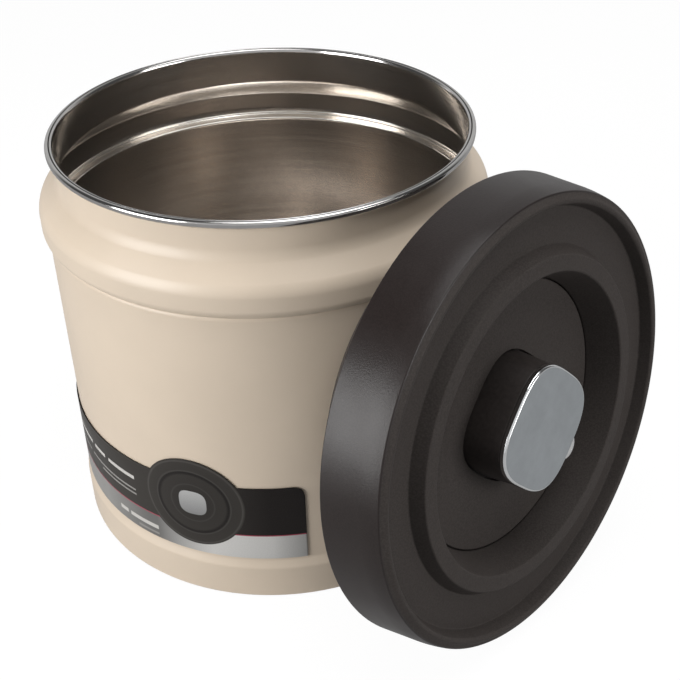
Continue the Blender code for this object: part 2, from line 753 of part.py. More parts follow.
def build_pump(shop, lid):
    """The fixed half of the pump: cylinder, guide, intake valve and screen."""
    low = LINER_FLOOR + GAP
    flange_top = low + FLANGE_THICKNESS
    tube_top = GUIDE_BOTTOM - GAP
    tube = [
        (CYLINDER_RADIUS, tube_top),
        (CYLINDER_RADIUS, flange_top),
        (CYLINDER_FLANGE, flange_top),
        (CYLINDER_FLANGE, low),
        (CYLINDER_BORE, low),
        (CYLINDER_BORE, tube_top),
    ]
    barrel = shop.turned("pump_cylinder", tube, material("pump_cylinder", WHITE, 0.4), lid, SMALL_STEPS)
    hole = CYLINDER_SCREW_SHANK + GAP
    spots = around(SCREW_COUNT, CYLINDER_SCREW_CIRCLE, SCREW_TURN)
    cut = [(hole, low - OVERRUN), (hole, flange_top + OVERRUN)]
    boolean(barrel, pins(shop, "flange_holes", spots, cut, lid, HOLE_STEPS))

    bore = ROD_RADIUS + ROD_CLEARANCE
    spigot = CYLINDER_BORE - GAP
    guide = [
        (CYLINDER_RADIUS, GUIDE_TOP),
        (CYLINDER_RADIUS, GUIDE_BOTTOM),
        (spigot, GUIDE_BOTTOM),
        (spigot, GUIDE_BOTTOM - GUIDE_LIP),
        (spigot - CYLINDER_WALL, GUIDE_BOTTOM - GUIDE_LIP),
        (spigot - CYLINDER_WALL, GUIDE_BOTTOM),
        (bore, GUIDE_BOTTOM),
        (bore, GUIDE_TOP),
    ]
    shop.turned("cylinder_cap", guide, material("cylinder_cap", BLACK, 0.4), lid, SMALL_STEPS)

    seat = LINER_FLOOR + GAP
    umbrella = [
        (0.0, seat + VALVE_HEIGHT),
        (VALVE_RADIUS / 2.0, seat + VALVE_HEIGHT),
        (VALVE_RADIUS, seat + VALVE_LIP),
        (VALVE_RADIUS, seat),
        (VALVE_STEM, seat),
        (VALVE_STEM, LINER_UNDER - GAP),
        (VALVE_BULB, LINER_UNDER - GAP),
        (VALVE_STEM, LINER_UNDER - GAP - VALVE_BULB_DROP),
        (0.0, LINER_UNDER - GAP - VALVE_BULB_DROP),
    ]
    silicone = material("intake_valve", SILICONE, 0.5)
    shop.turned("intake_valve", umbrella, silicone, lid, SMALL_STEPS, closed=False)

    top = LINER_UNDER - GAP
    bottom = top - HOLDER_HEIGHT
    shelf = bottom + HOLDER_LIP_THICKNESS
    inner = HOLDER_RADIUS - HOLDER_WALL
    holder = [
        (HOLDER_RADIUS, top),
        (HOLDER_RADIUS, bottom),
        (inner - HOLDER_LIP, bottom),
        (inner - HOLDER_LIP, shelf),
        (inner, shelf),
        (inner, top),
    ]
    shop.turned("screen_holder", holder, material("screen_holder", BLACK, 0.45), lid, SMALL_STEPS)
    screen_low = shelf + GAP
    screen_radius = inner - GAP
    mesh_disc = [
        (0.0, screen_low + SCREEN_THICKNESS),
        (screen_radius, screen_low + SCREEN_THICKNESS),
        (screen_radius, screen_low),
        (0.0, screen_low),
    ]
    steel = material("dust_screen", STEEL, 0.35, 1.0)
    shop.turned("dust_screen", mesh_disc, steel, lid, SMALL_STEPS, closed=False)


def build_springs(shop, lid, release_spot):
    """The coil that lifts the button and the one that lifts the release knob."""
    wire = material("return_spring", STEEL, 0.3, 1.0)
    low, high = GUIDE_TOP + GAP, COLUMN_CEILING - GAP
    shop.coil("return_spring", SPRING_RADIUS, SPRING_WIRE, SPRING_TURNS, low, high, wire, lid)
    low, high = LINER_FLOOR + GAP, spring_collar_bottom() - GAP
    small_wire = material("release_spring", STEEL, 0.3, 1.0)
    sizes = (RELEASE_SPRING_RADIUS, RELEASE_SPRING_WIRE, RELEASE_SPRING_TURNS)
    shop.coil("release_spring", *sizes, low, high, small_wire, release_spot)


def build_screws(shop, lid):
    """The screws that hold the liner to the plate's posts, and those that hold the cylinder."""
    under = LINER_UNDER - GAP
    liner_screw = [
        (0.0, LINER_UNDER + LINER_SCREW_LENGTH),
        (LINER_SCREW_SHANK, LINER_UNDER + LINER_SCREW_LENGTH),
        (LINER_SCREW_SHANK, under),
        (LINER_SCREW_HEAD, under),
        (LINER_SCREW_HEAD, under - LINER_SCREW_HEAD_HEIGHT),
        (0.0, under - LINER_SCREW_HEAD_HEIGHT),
    ]
    seat = LINER_FLOOR + GAP + FLANGE_THICKNESS + GAP
    cylinder_screw = [
        (0.0, seat + CYLINDER_SCREW_HEAD_HEIGHT),
        (CYLINDER_SCREW_HEAD, seat + CYLINDER_SCREW_HEAD_HEIGHT),
        (CYLINDER_SCREW_HEAD, seat),
        (CYLINDER_SCREW_SHANK, seat),
        (CYLINDER_SCREW_SHANK, LINER_FLOOR - CYLINDER_SCREW_BITE),
        (0.0, LINER_FLOOR - CYLINDER_SCREW_BITE),
    ]
    steel = material("screws", STEEL, 0.35, 1.0)
    for name, profile, spots in (
        ("liner_screw", liner_screw, around(SCREW_COUNT, POST_CIRCLE, SCREW_TURN)),
        ("cylinder_screw", cylinder_screw, around(SCREW_COUNT, CYLINDER_SCREW_CIRCLE, SCREW_TURN)),
    ):
        for i, (x, y) in enumerate(spots, start=1):
            screw = shop.turned(f"{name}_{i}", profile, steel, lid, TINY_STEPS, closed=False)
            screw.location = (x, y, 0.0)


# Moving pieces


def build_button(shop, button):
    """The sleeve that is pressed, its polished cap, and the piston under it."""
    top_half = BUTTON_HALF - BUTTON_TAPER
    lip_half = BUTTON_HALF + COLUMN_LIP
    room_half = BUTTON_HALF - COLUMN_WALL
    room_top_half = top_half - COLUMN_WALL
    sleeve_sections = [
        (room_top_half, COLUMN_CEILING),
        (room_half, FLANGE_LOWER),
        (lip_half, FLANGE_LOWER),
        (lip_half, FLANGE_UPPER),
        (BUTTON_HALF, FLANGE_UPPER),
        (BUTTON_HALF, PLATE_TOP),
        (top_half, COLUMN_UPPER),
    ]
    black = material("button_column", BLACK, 0.45)
    shop.shaped("button_column", lambda shape: squircle_stack(shape, sleeve_sections), black, button)

    cap_half = top_half + CAP_OVERLAP
    cap_sections = [
        (cap_half, CAP_RISE - CAP_THICKNESS),
        (cap_half, CAP_RISE - CAP_BEVEL),
        (cap_half - CAP_BEVEL, CAP_RISE),
    ]
    chrome = material("button_cap", CHROME, 0.08, 1.0)
    shop.shaped("button_cap", lambda shape: squircle_stack(shape, cap_sections), chrome, button)

    groove_floor = PISTON_RADIUS - GROOVE_DEPTH
    upper = PISTON_TOP - PISTON_HEIGHT * GROOVE_SHARES[0]
    lower = PISTON_TOP - PISTON_HEIGHT * GROOVE_SHARES[1]
    rod = [
        (0.0, COLUMN_CEILING - GAP),
        (ROD_RADIUS, COLUMN_CEILING - GAP),
        (ROD_RADIUS, PISTON_TOP),
        (PISTON_RADIUS, PISTON_TOP),
        (PISTON_RADIUS, upper),
        (groove_floor, upper),
        (groove_floor, lower),
        (PISTON_RADIUS, lower),
        (PISTON_RADIUS, PISTON_BOTTOM),
        (0.0, PISTON_BOTTOM),
    ]
    white = material("pump_piston", WHITE, 0.4)
    piston = shop.turned("pump_piston", rod, white, button, SMALL_STEPS, closed=False)
    vents = around(VENT_COUNT, PISTON_VENT_CIRCLE)
    cut = [(VENT_RADIUS, PISTON_BOTTOM - OVERRUN), (VENT_RADIUS, PISTON_TOP + OVERRUN)]
    boolean(piston, pins(shop, "piston_vents", vents, cut, button, HOLE_STEPS))

    seal_outer = CYLINDER_BORE - SEAL_CLEARANCE
    seal = [
        (seal_outer, upper - GAP),
        (seal_outer, lower + GAP),
        (groove_floor + GAP, lower + GAP),
        (groove_floor + GAP, upper - GAP),
    ]
    shop.turned("piston_seal", seal, material("piston_seal", SILICONE, 0.5), button, SMALL_STEPS)

    flap_low = PISTON_TOP + GAP
    flap = [
        (FLAP_RADIUS, flap_low + FLAP_THICKNESS),
        (FLAP_RADIUS, flap_low),
        (ROD_RADIUS + GAP, flap_low),
        (ROD_RADIUS + GAP, flap_low + FLAP_THICKNESS),
    ]
    shop.turned("exhaust_flap", flap, material("exhaust_flap", SILICONE, 0.5), button, SMALL_STEPS)


def spring_collar_bottom():
    """Underside of the collar that the release spring pushes on."""
    return FLANGE_UPPER - SPRING_COLLAR_DROP - COLLAR_THICKNESS


def build_release(shop, release):
    """The release valve's knob, stem and plug, on the axis of its own empty."""
    knob_top = PLATE_TOP + KNOB_RISE
    knob = [
        (0.0, knob_top),
        (KNOB_RADIUS - KNOB_EDGE, knob_top),
        (KNOB_RADIUS - KNOB_EDGE * KNOB_EDGE_SHARE, knob_top - KNOB_EDGE * KNOB_EDGE_SHARE),
        (KNOB_RADIUS, knob_top - KNOB_EDGE),
        (KNOB_RADIUS, PLATE_BOTTOM),
        (0.0, PLATE_BOTTOM),
    ]
    chrome = material("release_knob", CHROME, 0.1, 1.0)
    shop.turned("release_knob", knob, chrome, release, SMALL_STEPS, closed=False)

    collar = FLANGE_UPPER
    spring_top = spring_collar_bottom()
    end = LINER_UNDER - GAP
    stem = [
        (0.0, collar),
        (STEM_COLLAR, collar),
        (STEM_COLLAR, collar - COLLAR_THICKNESS),
        (STEM_RADIUS, collar - COLLAR_THICKNESS),
        (STEM_RADIUS, spring_top + COLLAR_THICKNESS),
        (SPRING_COLLAR, spring_top + COLLAR_THICKNESS),
        (SPRING_COLLAR, spring_top),
        (STEM_RADIUS, spring_top),
        (STEM_RADIUS, end),
        (0.0, end),
    ]
    black = material("release_stem", BLACK, 0.45)
    shop.turned("release_stem", stem, black, release, SMALL_STEPS, closed=False)

    plug = [
        (0.0, end - GAP),
        (PLUG_RADIUS, end - GAP),
        (PLUG_RADIUS, end - GAP - PLUG_THICKNESS / 2.0),
        (PLUG_RADIUS / 2.0, end - GAP - PLUG_THICKNESS),
        (0.0, end - GAP - PLUG_THICKNESS),
    ]
    silicone = material("release_plug", SILICONE, 0.5)
    shop.turned("release_plug", plug, silicone, release, SMALL_STEPS, closed=False)


def main():
    """Build the canister, then the lid on its leaning axis."""
    shop = Workshop()
    build_vessel(shop)
    build_label(shop)
    lid = shop.empty("lid_axis", matrix=lid_matrix())
    build_cover(shop, lid)
    build_liner(shop, lid)
    build_pump(shop, lid)
    knob_place = Matrix.Translation((0.0, -KNOB_OFFSET, 0.0))
    release_seat = shop.empty("release_seat", lid, knob_place)
    build_springs(shop, lid, release_seat)
    build_screws(shop, lid)
    build_button(shop, shop.empty("button_axis", lid))
    build_release(shop, shop.empty("release_axis", release_seat))


main()
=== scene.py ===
"""Looks of the vacuum coffee canister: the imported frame, dressed and lit as photographed.

Everything is in metres with +Z up. The canister stands at the origin. The lid's pieces are
made on the lid's own axis, where height zero is the top of the raised ring round the well,
and each finished piece is then put where the lid leans on the canister.
"""

import logging
import math
from dataclasses import dataclass, field
from enum import Enum
from typing import Callable, NamedTuple, Sequence, Union

import bmesh
import bpy
from mathutils import Matrix, Vector


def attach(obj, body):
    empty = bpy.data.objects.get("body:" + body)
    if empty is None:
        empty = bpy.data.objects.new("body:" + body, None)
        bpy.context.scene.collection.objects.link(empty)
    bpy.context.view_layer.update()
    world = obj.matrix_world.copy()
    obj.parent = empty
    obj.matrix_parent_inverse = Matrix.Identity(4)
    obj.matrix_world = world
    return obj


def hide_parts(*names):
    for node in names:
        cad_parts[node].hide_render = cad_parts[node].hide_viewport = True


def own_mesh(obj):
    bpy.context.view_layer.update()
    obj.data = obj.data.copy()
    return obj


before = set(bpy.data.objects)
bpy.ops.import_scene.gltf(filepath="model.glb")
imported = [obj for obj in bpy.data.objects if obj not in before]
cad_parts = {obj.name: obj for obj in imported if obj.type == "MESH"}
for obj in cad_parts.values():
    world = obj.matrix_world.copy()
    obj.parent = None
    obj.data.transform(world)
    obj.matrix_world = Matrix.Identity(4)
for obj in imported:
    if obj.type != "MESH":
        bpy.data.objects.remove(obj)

LOG = logging.getLogger("vacuum_canister")
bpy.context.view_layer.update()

ROUND = 176
SMALL_ROUND = 64
SCREW_ROUND = 40
SQUARED_ROUND = 160
SPRING_ROUND = 48
WIRE_SIDES = 12
SHARP_ANGLE = math.radians(34.0)
SEAM = 1e-7

Colour = tuple[float, float, float]
Socket = bpy.types.NodeSocket
Feed = Union[Socket, float, Colour]
Zone = Callable[[Vector, Vector], int]


# Nodes


class Nodes:
    """A node tree, whose nodes are added and joined one after another."""

    def __init__(self, tree: bpy.types.NodeTree) -> None:
        """Take the tree, which may hold nodes already."""
        self.tree = tree

    def add(self, kind: str, **settings: object) -> bpy.types.Node:
        """Add a node.

        Args:
            kind: The node's type.
            **settings: Values for the node's own properties.

        Returns:
            The new node.
        """
        node = self.tree.nodes.new(kind)
        for key, value in settings.items():
            setattr(node, key, value)
        return node

    def feed(self, target: Socket, value: Feed) -> None:
        """Join another socket to a socket, or write a number or a colour on it.

        Args:
            target: The input socket.
            value: What it gets.
        """
        if isinstance(value, bpy.types.NodeSocket):
            self.tree.links.new(value, target)
        elif isinstance(value, tuple) and target.type == "RGBA":
            target.default_value = (*value, 1.0)
        else:
            target.default_value = value

    def split(self, vector: Socket) -> tuple[Socket, Socket, Socket]:
        """The three parts of a vector.

        Args:
            vector: The vector.

        Returns:
            Its X, Y and Z.
        """
        node = self.add("ShaderNodeSeparateXYZ")
        self.feed(node.inputs["Vector"], vector)
        return node.outputs["X"], node.outputs["Y"], node.outputs["Z"]

    def merge(self, x: Feed, y: Feed, z: Feed) -> Socket:
        """A vector of three parts.

        Args:
            x: The first part.
            y: The second part.
            z: The third part.

        Returns:
            The vector.
        """
        node = self.add("ShaderNodeCombineXYZ")
        for target, value in zip(node.inputs, (x, y, z)):
            self.feed(target, value)
        return node.outputs["Vector"]

    def sum(self, operation: str, first: Feed, second: Feed = 0.0) -> Socket:
        """One step of arithmetic.

        Args:
            operation: Blender's name for it.
            first: The first number.
            second: The second number.

        Returns:
            The result.
        """
        node = self.add("ShaderNodeMath", operation=operation)
        self.feed(node.inputs[0], first)
        self.feed(node.inputs[1], second)
        return node.outputs[0]

    def spread(
        self,
        value: Socket,
        start: float,
        end: float,
        low: Feed = 0.0,
        high: Feed = 1.0,
        curve: str = "LINEAR",
    ) -> Socket:
        """Take a number from one range to another, held at its ends.

        Args:
            value: The number.
            start: Where the first range starts.
            end: Where it ends.
            low: The result at the start.
            high: The result at the end.
            curve: Blender's name for how it goes between them.

        Returns:
            The number in its new range.
        """
        node = self.add("ShaderNodeMapRange", clamp=True, interpolation_type=curve)
        names = ("Value", "From Min", "From Max", "To Min", "To Max")
        for name, number in zip(names, (value, start, end, low, high)):
            self.feed(node.inputs[name], number)
        return node.outputs["Result"]

    def chosen(self, choice: Socket, otherwise: Feed, level: Feed) -> Socket:
        """One of two levels: the second where the choice is 1, the first where it is 0."""
        return self.spread(choice, 0.0, 1.0, otherwise, level)

    def rays(self) -> tuple[Socket, Socket]:
        """Which rays see the background itself, and which see it mirrored.

        Returns:
            A number that is 1 for camera rays, and one for glossy and transmission rays.
        """
        path = self.add("ShaderNodeLightPath").outputs
        mirrored = self.sum("MAXIMUM", path["Is Glossy Ray"], path["Is Transmission Ray"])
        return path["Is Camera Ray"], mirrored


class Bench(Nodes):
    """The nodes of one material.

    The pattern follows the axis on which the piece was made, so that rings stay round it.
    """

    def __init__(self, name: str, axis: Matrix) -> None:
        """Start a material with its shader.

        Args:
            name: The material's name.
            axis: Where the piece's own axis lies in the frame.
        """
        self.material = bpy.data.materials.new(name)
        self.material.use_nodes = True
        super().__init__(self.material.node_tree)
        self.shader = self.tree.nodes["Principled BSDF"]
        self.axis = axis

    def surface(self, **values: Feed) -> None:
        """Set the shader's sockets, named with underscores for their spaces."""
        for key, value in values.items():
            self.feed(self.shader.inputs[key.replace("_", " ")], value)

    def spot(self) -> Socket:
        """Object coordinates, brought back to the piece's own axis.

        Returns:
            The point's place on that axis.
        """
        back = self.axis.inverted()
        mapping = self.add("ShaderNodeMapping")
        mapping.inputs["Location"].default_value = back.to_translation()
        mapping.inputs["Rotation"].default_value = back.to_euler()
        self.feed(mapping.inputs["Vector"], self.add("ShaderNodeTexCoord").outputs["Object"])
        return mapping.outputs["Vector"]

    def noise(self, vector: Socket, scale: float, detail: float = 2.0, rough: float = 0.5) -> Socket:
        """Smooth random variation.

        Args:
            vector: Where it is read.
            scale: Waves in a metre.
            detail: How many finer layers it has.
            rough: How strong they are.

        Returns:
            A number about 0.5.
        """
        node = self.add("ShaderNodeTexNoise")
        for key, value in (("Vector", vector), ("Scale", scale), ("Detail", detail), ("Roughness", rough)):
            self.feed(node.inputs[key], value)
        return node.outputs["Fac"]

    def cells(self, vector: Socket, scale: float) -> Socket:
        """Small rounded cells, as on moulded grain.

        Args:
            vector: Where they are read.
            scale: Cells in a metre.

        Returns:
            The distance to the nearest cell's middle.
        """
        node = self.add("ShaderNodeTexVoronoi", feature="SMOOTH_F1")
        self.feed(node.inputs["Vector"], vector)
        self.feed(node.inputs["Scale"], scale)
        return node.outputs["Distance"]

    def reach(self, vector: Socket) -> Socket:
        """Distance of a point from the piece's axis."""
        x, y, _ = self.split(vector)
        return self.sum("SQRT", self.sum("ADD", self.sum("MULTIPLY", x, x), self.sum("MULTIPLY", y, y)))

    def stretched(self, vector: Socket, around: float, along: float) -> Socket:
        """Coordinates in which a pattern is drawn out round the axis.

        Args:
            vector: A point on the axis's coordinates.
            around: Scale across the axis.
            along: Scale along the surface's own profile.

        Returns:
            The stretched vector.
        """
        x, y, z = self.split(vector)
        run = self.sum("SUBTRACT", z, self.reach(vector))
        return self.merge(
            self.sum("MULTIPLY", x, around), self.sum("MULTIPLY", y, around), self.sum("MULTIPLY", run, along)
        )

    def mix(self, share: Feed, first: Feed, second: Feed) -> Socket:
        """Two colours mixed.

        Args:
            share: The share of the second.
            first: The first colour.
            second: The second colour.

        Returns:
            The mixed colour.
        """
        node = self.add("ShaderNodeMix", data_type="RGBA")
        self.feed(node.inputs[0], share)
        self.feed(node.inputs[6], first)
        self.feed(node.inputs[7], second)
        return node.outputs[2]

    def relief(self, height: Socket, depth: float) -> None:
        """Raise the surface's shading by a height.

        Args:
            height: The height, from 0 to 1.
            depth: How far 1 is, in metres.
        """
        node = self.add("ShaderNodeBump")
        self.feed(node.inputs["Height"], height)
        self.feed(node.inputs["Distance"], depth)
        self.feed(self.shader.inputs["Normal"], node.outputs["Normal"])

    def band(self, value: Socket, start: float, end: float, soft: float) -> Socket:
        """A mask that is 1 between two values.

        Args:
            value: What is measured.
            start: Where the band starts.
            end: Where it ends.
            soft: How wide its edges are.

        Returns:
            The mask.
        """
        up = self.spread(value, start - soft, start + soft)
        down = self.spread(value, end - soft, end + soft, 1.0, 0.0)
        return self.sum("MULTIPLY", up, down)


def tinted(colour: Colour, share: float) -> Colour:
    """A colour made lighter or darker by a share."""
    return (colour[0] * share, colour[1] * share, colour[2] * share)


# Finishes


class Drift(NamedTuple):
    """A number that varies over the surface, and what it brings from one value to another."""

    value: Socket
    start: float
    end: float
    low: float
    high: float


@dataclass(frozen=True)
class Finish:
    """A surface finish, which makes the material of a piece."""

    colour: Colour
    roughness: float = 0.5

    def dress(self, bench: Bench) -> None:
        """Lay the finish's nodes on a bench."""
        raise NotImplementedError

    def worn(self, bench: Bench, wear: Drift) -> Socket:
        """Roughness that varies about the finish's own."""
        rough = self.roughness
        return bench.spread(wear.value, wear.start, wear.end, rough + wear.low, rough + wear.high)

    def toned(self, bench: Bench, tone: Drift) -> Socket:
        """The finish's colour, going from one share of it to another."""
        low, high = tinted(self.colour, tone.low), tinted(self.colour, tone.high)
        return bench.mix(bench.spread(tone.value, tone.start, tone.end), low, high)

    def lay(
        self, bench: Bench, tone: Drift, stain: Drift, wear: Drift, soil: Colour | None = None, **values: Feed
    ) -> None:
        """Lay a colour of two tones with stains in it, and its wear.

        Args:
            bench: The material's nodes.
            tone: Where the colour changes, and from which share of it to which.
            stain: Where it is stained, how much at most, and the stain's own share of the colour.
            wear: Where the roughness changes, and from how far below it to how far above.
            soil: The stain's colour, where it isn't the finish's own.
            **values: What the shader's other sockets get.
        """
        amount = bench.spread(stain.value, stain.start, stain.end, 0.0, stain.low)
        colour = bench.mix(amount, self.toned(bench, tone), soil or tinted(self.colour, stain.high))
        bench.surface(Base_Color=colour, Roughness=self.worn(bench, wear), **values)

    def material(self, name: str, axis: Matrix) -> bpy.types.Material:
        """Make the material.

        Args:
            name: The material's name.
            axis: Where the piece's own axis lies.

        Returns:
            The material.
        """
        bench = Bench(name, axis)
        self.dress(bench)
        bench.material.diffuse_color = (*self.colour, 1.0)
        return bench.material


@dataclass(frozen=True)
class SatinPaint(Finish):
    """Baked satin paint on sheet steel: a faint orange peel and slow drifts of tone."""

    roughness: float = 0.4
    peel: float = 0.000012

    def dress(self, bench: Bench) -> None:
        """Lay the finish's nodes.

        Args:
            bench: The material's nodes.
        """
        spot = bench.spot()
        drift = Drift(bench.noise(spot, 38.0, 3.0), 0.3, 0.7, 0.975, 1.02)
        fleck = Drift(bench.noise(spot, 2600.0, 1.0), 0.35, 0.7, 0.05, 0.8)
        wear = Drift(bench.noise(spot, 130.0, 4.0), 0.3, 0.7, -0.03, 0.04)
        self.lay(bench, drift, fleck, wear, Coat_Weight=0.12, Coat_Roughness=0.25)
        bench.relief(bench.noise(spot, 900.0, 2.0), self.peel)


@dataclass(frozen=True)
class TurnedSteel(Finish):
    """Bare steel with fine lines round its axis."""

    roughness: float = 0.34
    line: float = 0.000012

    def dress(self, bench: Bench) -> None:
        """Lay the finish's nodes.

        Args:
            bench: The material's nodes.
        """
        spot = bench.spot()
        fine = bench.noise(bench.stretched(spot, 14.0, 5200.0), 1.0, 3.0, 0.6)
        broad = bench.noise(bench.stretched(spot, 9.0, 420.0), 1.0, 2.0)
        stain = bench.noise(spot, 55.0, 3.0)
        lines = bench.sum("ADD", bench.sum("MULTIPLY", fine, 0.6), bench.sum("MULTIPLY", broad, 0.4))
        drawn = Drift(lines, 0.36, 0.64, 0.96, 1.04)
        wear = Drift(lines, 0.35, 0.65, -0.02, 0.03)
        self.lay(bench, drawn, Drift(stain, 0.45, 0.75, 0.14, 0.78), wear, Metallic=1.0)
        bench.relief(lines, self.line)


@dataclass(frozen=True)
class PolishedMetal(Finish):
    """Polished or plated metal with faint wiping marks."""

    roughness: float = 0.1
    scuff: float = 0.05

    def dress(self, bench: Bench) -> None:
        """Lay the finish's nodes.

        Args:
            bench: The material's nodes.
        """
        spot = bench.spot()
        smear = bench.noise(spot, 120.0, 4.0, 0.6)
        fine = bench.noise(bench.stretched(spot, 700.0, 4200.0), 1.0, 2.0)
        colour = self.toned(bench, Drift(smear, 0.35, 0.7, 1.03, 0.93))
        marks = bench.sum("ADD", bench.sum("MULTIPLY", smear, 0.7), bench.sum("MULTIPLY", fine, 0.3))
        wear = self.worn(bench, Drift(marks, 0.35, 0.7, 0.0, self.scuff))
        bench.surface(Base_Color=colour, Roughness=wear, Metallic=1.0)
        bench.relief(fine, 0.0000015)


class Skin(Enum):
    """How a moulding's tool was finished."""

    GRAINED = "grained"
    SMOOTH = "smooth"


@dataclass(frozen=True)
class Moulding(Finish):
    """Moulded plastic, grained or smooth."""

    skin: Skin = Skin.GRAINED
    grain: float = 0.00003
    sheen: float = 0.5

    def dress(self, bench: Bench) -> None:
        """Lay the finish's nodes.

        Args:
            bench: The material's nodes.
        """
        spot = bench.spot()
        drift = bench.noise(spot, 60.0, 3.0)
        if self.skin is Skin.GRAINED:
            pits = bench.cells(spot, 1900.0)
            height = bench.sum("ADD", bench.sum("MULTIPLY", pits, 0.6), bench.noise(spot, 3800.0, 2.0))
            fleck = Drift(pits, 0.1, 0.6, 1.14, 0.84)
            depth = self.grain
        else:
            height = bench.noise(spot, 700.0, 3.0)
            fleck = Drift(height, 0.35, 0.65, 1.14, 0.84)
            depth = self.grain * 0.15
        wear = Drift(drift, 0.3, 0.7, -0.04, 0.04)
        self.lay(bench, fleck, Drift(drift, 0.35, 0.7, 0.3, 1.12), wear, Specular_IOR_Level=self.sheen)
        bench.relief(height, depth)


@dataclass(frozen=True)
class SoftSilicone(Finish):
    """Moulded silicone: dull, slightly cloudy, with a dusty bloom."""

    roughness: float = 0.55

    def dress(self, bench: Bench) -> None:
        """Lay the finish's nodes.

        Args:
            bench: The material's nodes.
        """
        spot = bench.spot()
        cloud = bench.noise(spot, 160.0, 4.0)
        dust = bench.noise(spot, 2400.0, 2.0)
        milky = Drift(cloud, 0.3, 0.7, 0.93, 1.05)
        wear = Drift(cloud, 0.3, 0.7, -0.05, 0.08)
        self.lay(bench, milky, Drift(dust, 0.5, 0.75, 0.12, 0.75), wear, Sheen_Weight=0.15)
        bench.relief(dust, 0.00001)


@dataclass(frozen=True)
class StandRubber(Finish):
    """Dark non-slip rubber with a fine grain and dust in it."""

    roughness: float = 0.8

    def dress(self, bench: Bench) -> None:
        """Lay the finish's nodes.

        Args:
            bench: The material's nodes.
        """
        spot = bench.spot()
        grain = bench.noise(spot, 2100.0, 3.0, 0.6)
        dust = bench.noise(spot, 90.0, 5.0, 0.6)
        fleck = Drift(grain, 0.35, 0.65, 0.8, 1.2)
        wear = Drift(dust, 0.4, 0.7, -0.06, 0.08)
        self.lay(bench, fleck, Drift(dust, 0.5, 0.8, 0.35, 1.0), wear, soil=(0.16, 0.15, 0.14))
        bench.relief(grain, 0.00004)


@dataclass(frozen=True)
class DrawnWire(Finish):
    """Drawn or turned steel of small parts, slightly stained."""

    roughness: float = 0.3

    def dress(self, bench: Bench) -> None:
        """Lay the finish's nodes.

        Args:
            bench: The material's nodes.
        """
        spot = bench.spot()
        stain = bench.noise(spot, 420.0, 3.0)
        draw = bench.noise(spot, 5200.0, 2.0, 0.6)
        bright = Drift(draw, 0.35, 0.65, 0.88, 1.1)
        wear = Drift(stain, 0.35, 0.7, -0.05, 0.12)
        self.lay(bench, bright, Drift(stain, 0.45, 0.75, 0.3, 0.6), wear, Metallic=1.0)
        bench.relief(draw, 0.000006)


@dataclass(frozen=True)
class WovenMesh(Finish):
    """Fine woven wire: two sets of crossing wires, with painted shade in the gaps between them."""

    roughness: float = 0.35
    pitch: float = 0.0007

    def dress(self, bench: Bench) -> None:
        """Lay the finish's nodes.

        Args:
            bench: The material's nodes.
        """
        spot = bench.spot()
        waves = []
        for way in bench.split(spot)[:2]:
            turn = bench.sum("MULTIPLY", way, math.pi / self.pitch)
            waves.append(bench.sum("ABSOLUTE", bench.sum("SINE", turn)))
        wire = bench.sum("MAXIMUM", *waves)
        gap = bench.spread(wire, 0.45, 0.7)
        soil = bench.spread(bench.noise(spot, 300.0, 3.0), 0.4, 0.75, 0.75, 1.0)
        lit = bench.mix(soil, tinted(self.colour, 0.6), self.colour)
        # The gaps between the wires get near-black colour: painted shade in the holes.
        bench.surface(
            Base_Color=bench.mix(gap, (0.02, 0.018, 0.016), lit),
            Roughness=bench.spread(gap, 0.0, 1.0, 0.8, self.roughness),
            Metallic=bench.spread(gap, 0.0, 1.0, 0.1, 1.0),
        )
        bench.relief(wire, 0.00018)


class Ramp(NamedTuple):
    """Ink that goes from one colour to another between two values of a measure."""

    start: float
    end: float
    first: Colour
    last: Colour


class Bar(NamedTuple):
    """A printed bar: its right and left ends, its bottom, its top and its ink."""

    right: float
    left: float
    bottom: float
    top: float
    ink: Colour


class Ring(NamedTuple):
    """A printed ring: its radii, how soft its edges are, and its ink."""

    inner: float
    outer: float
    soft: float
    ink: Colour


PALE_INK = (0.62, 0.60, 0.57)
DIM_INK = (0.30, 0.29, 0.275)
# The field and the silver strip darken towards the label's right end, where the canister's right side lies in
# shade: painted shade over the print.
FIELD_INK_SHADED = Ramp(0.012, 0.045, (0.0115, 0.009, 0.0085), (0.040, 0.036, 0.032))
SILVER_INK_SHADED = Ramp(0.0, 0.012, (0.40, 0.395, 0.385), (0.66, 0.65, 0.63))
DULL_INK = Ramp(0.060, 0.085, (0.16, 0.157, 0.152), (0.30, 0.295, 0.285))
MEDAL_INK = Ramp(0.0, 0.0190, (0.026, 0.023, 0.021), (0.042, 0.038, 0.034))
BADGE_INK = Ramp(-0.0052, 0.0052, (0.25, 0.25, 0.25), (0.47, 0.47, 0.465))
BARS = (
    Bar(0.0650, 0.0800, 0.0415, 0.0431, PALE_INK),
    Bar(0.0825, 0.0905, 0.0415, 0.0431, PALE_INK),
    Bar(0.0930, 0.1080, 0.0415, 0.0431, PALE_INK),
    Bar(0.0650, 0.0940, 0.0362, 0.0370, DIM_INK),
    Bar(0.0650, 0.0860, 0.0341, 0.0349, DIM_INK),
    Bar(0.0960, 0.1140, 0.0362, 0.0370, DIM_INK),
    Bar(0.0560, 0.0700, 0.0222, 0.0240, PALE_INK),
    Bar(0.0715, 0.0760, 0.0222, 0.0240, PALE_INK),
    Bar(0.0560, 0.0660, 0.0196, 0.0206, DIM_INK),
)
RINGS = (
    Ring(0.0180, 0.0184, 0.0003, (0.085, 0.08, 0.074)),
    Ring(0.0126, 0.0139, 0.0004, (0.014, 0.012, 0.011)),
    Ring(0.0139, 0.0142, 0.0003, (0.075, 0.07, 0.065)),
    Ring(0.0081, 0.0084, 0.0003, (0.06, 0.056, 0.052)),
)


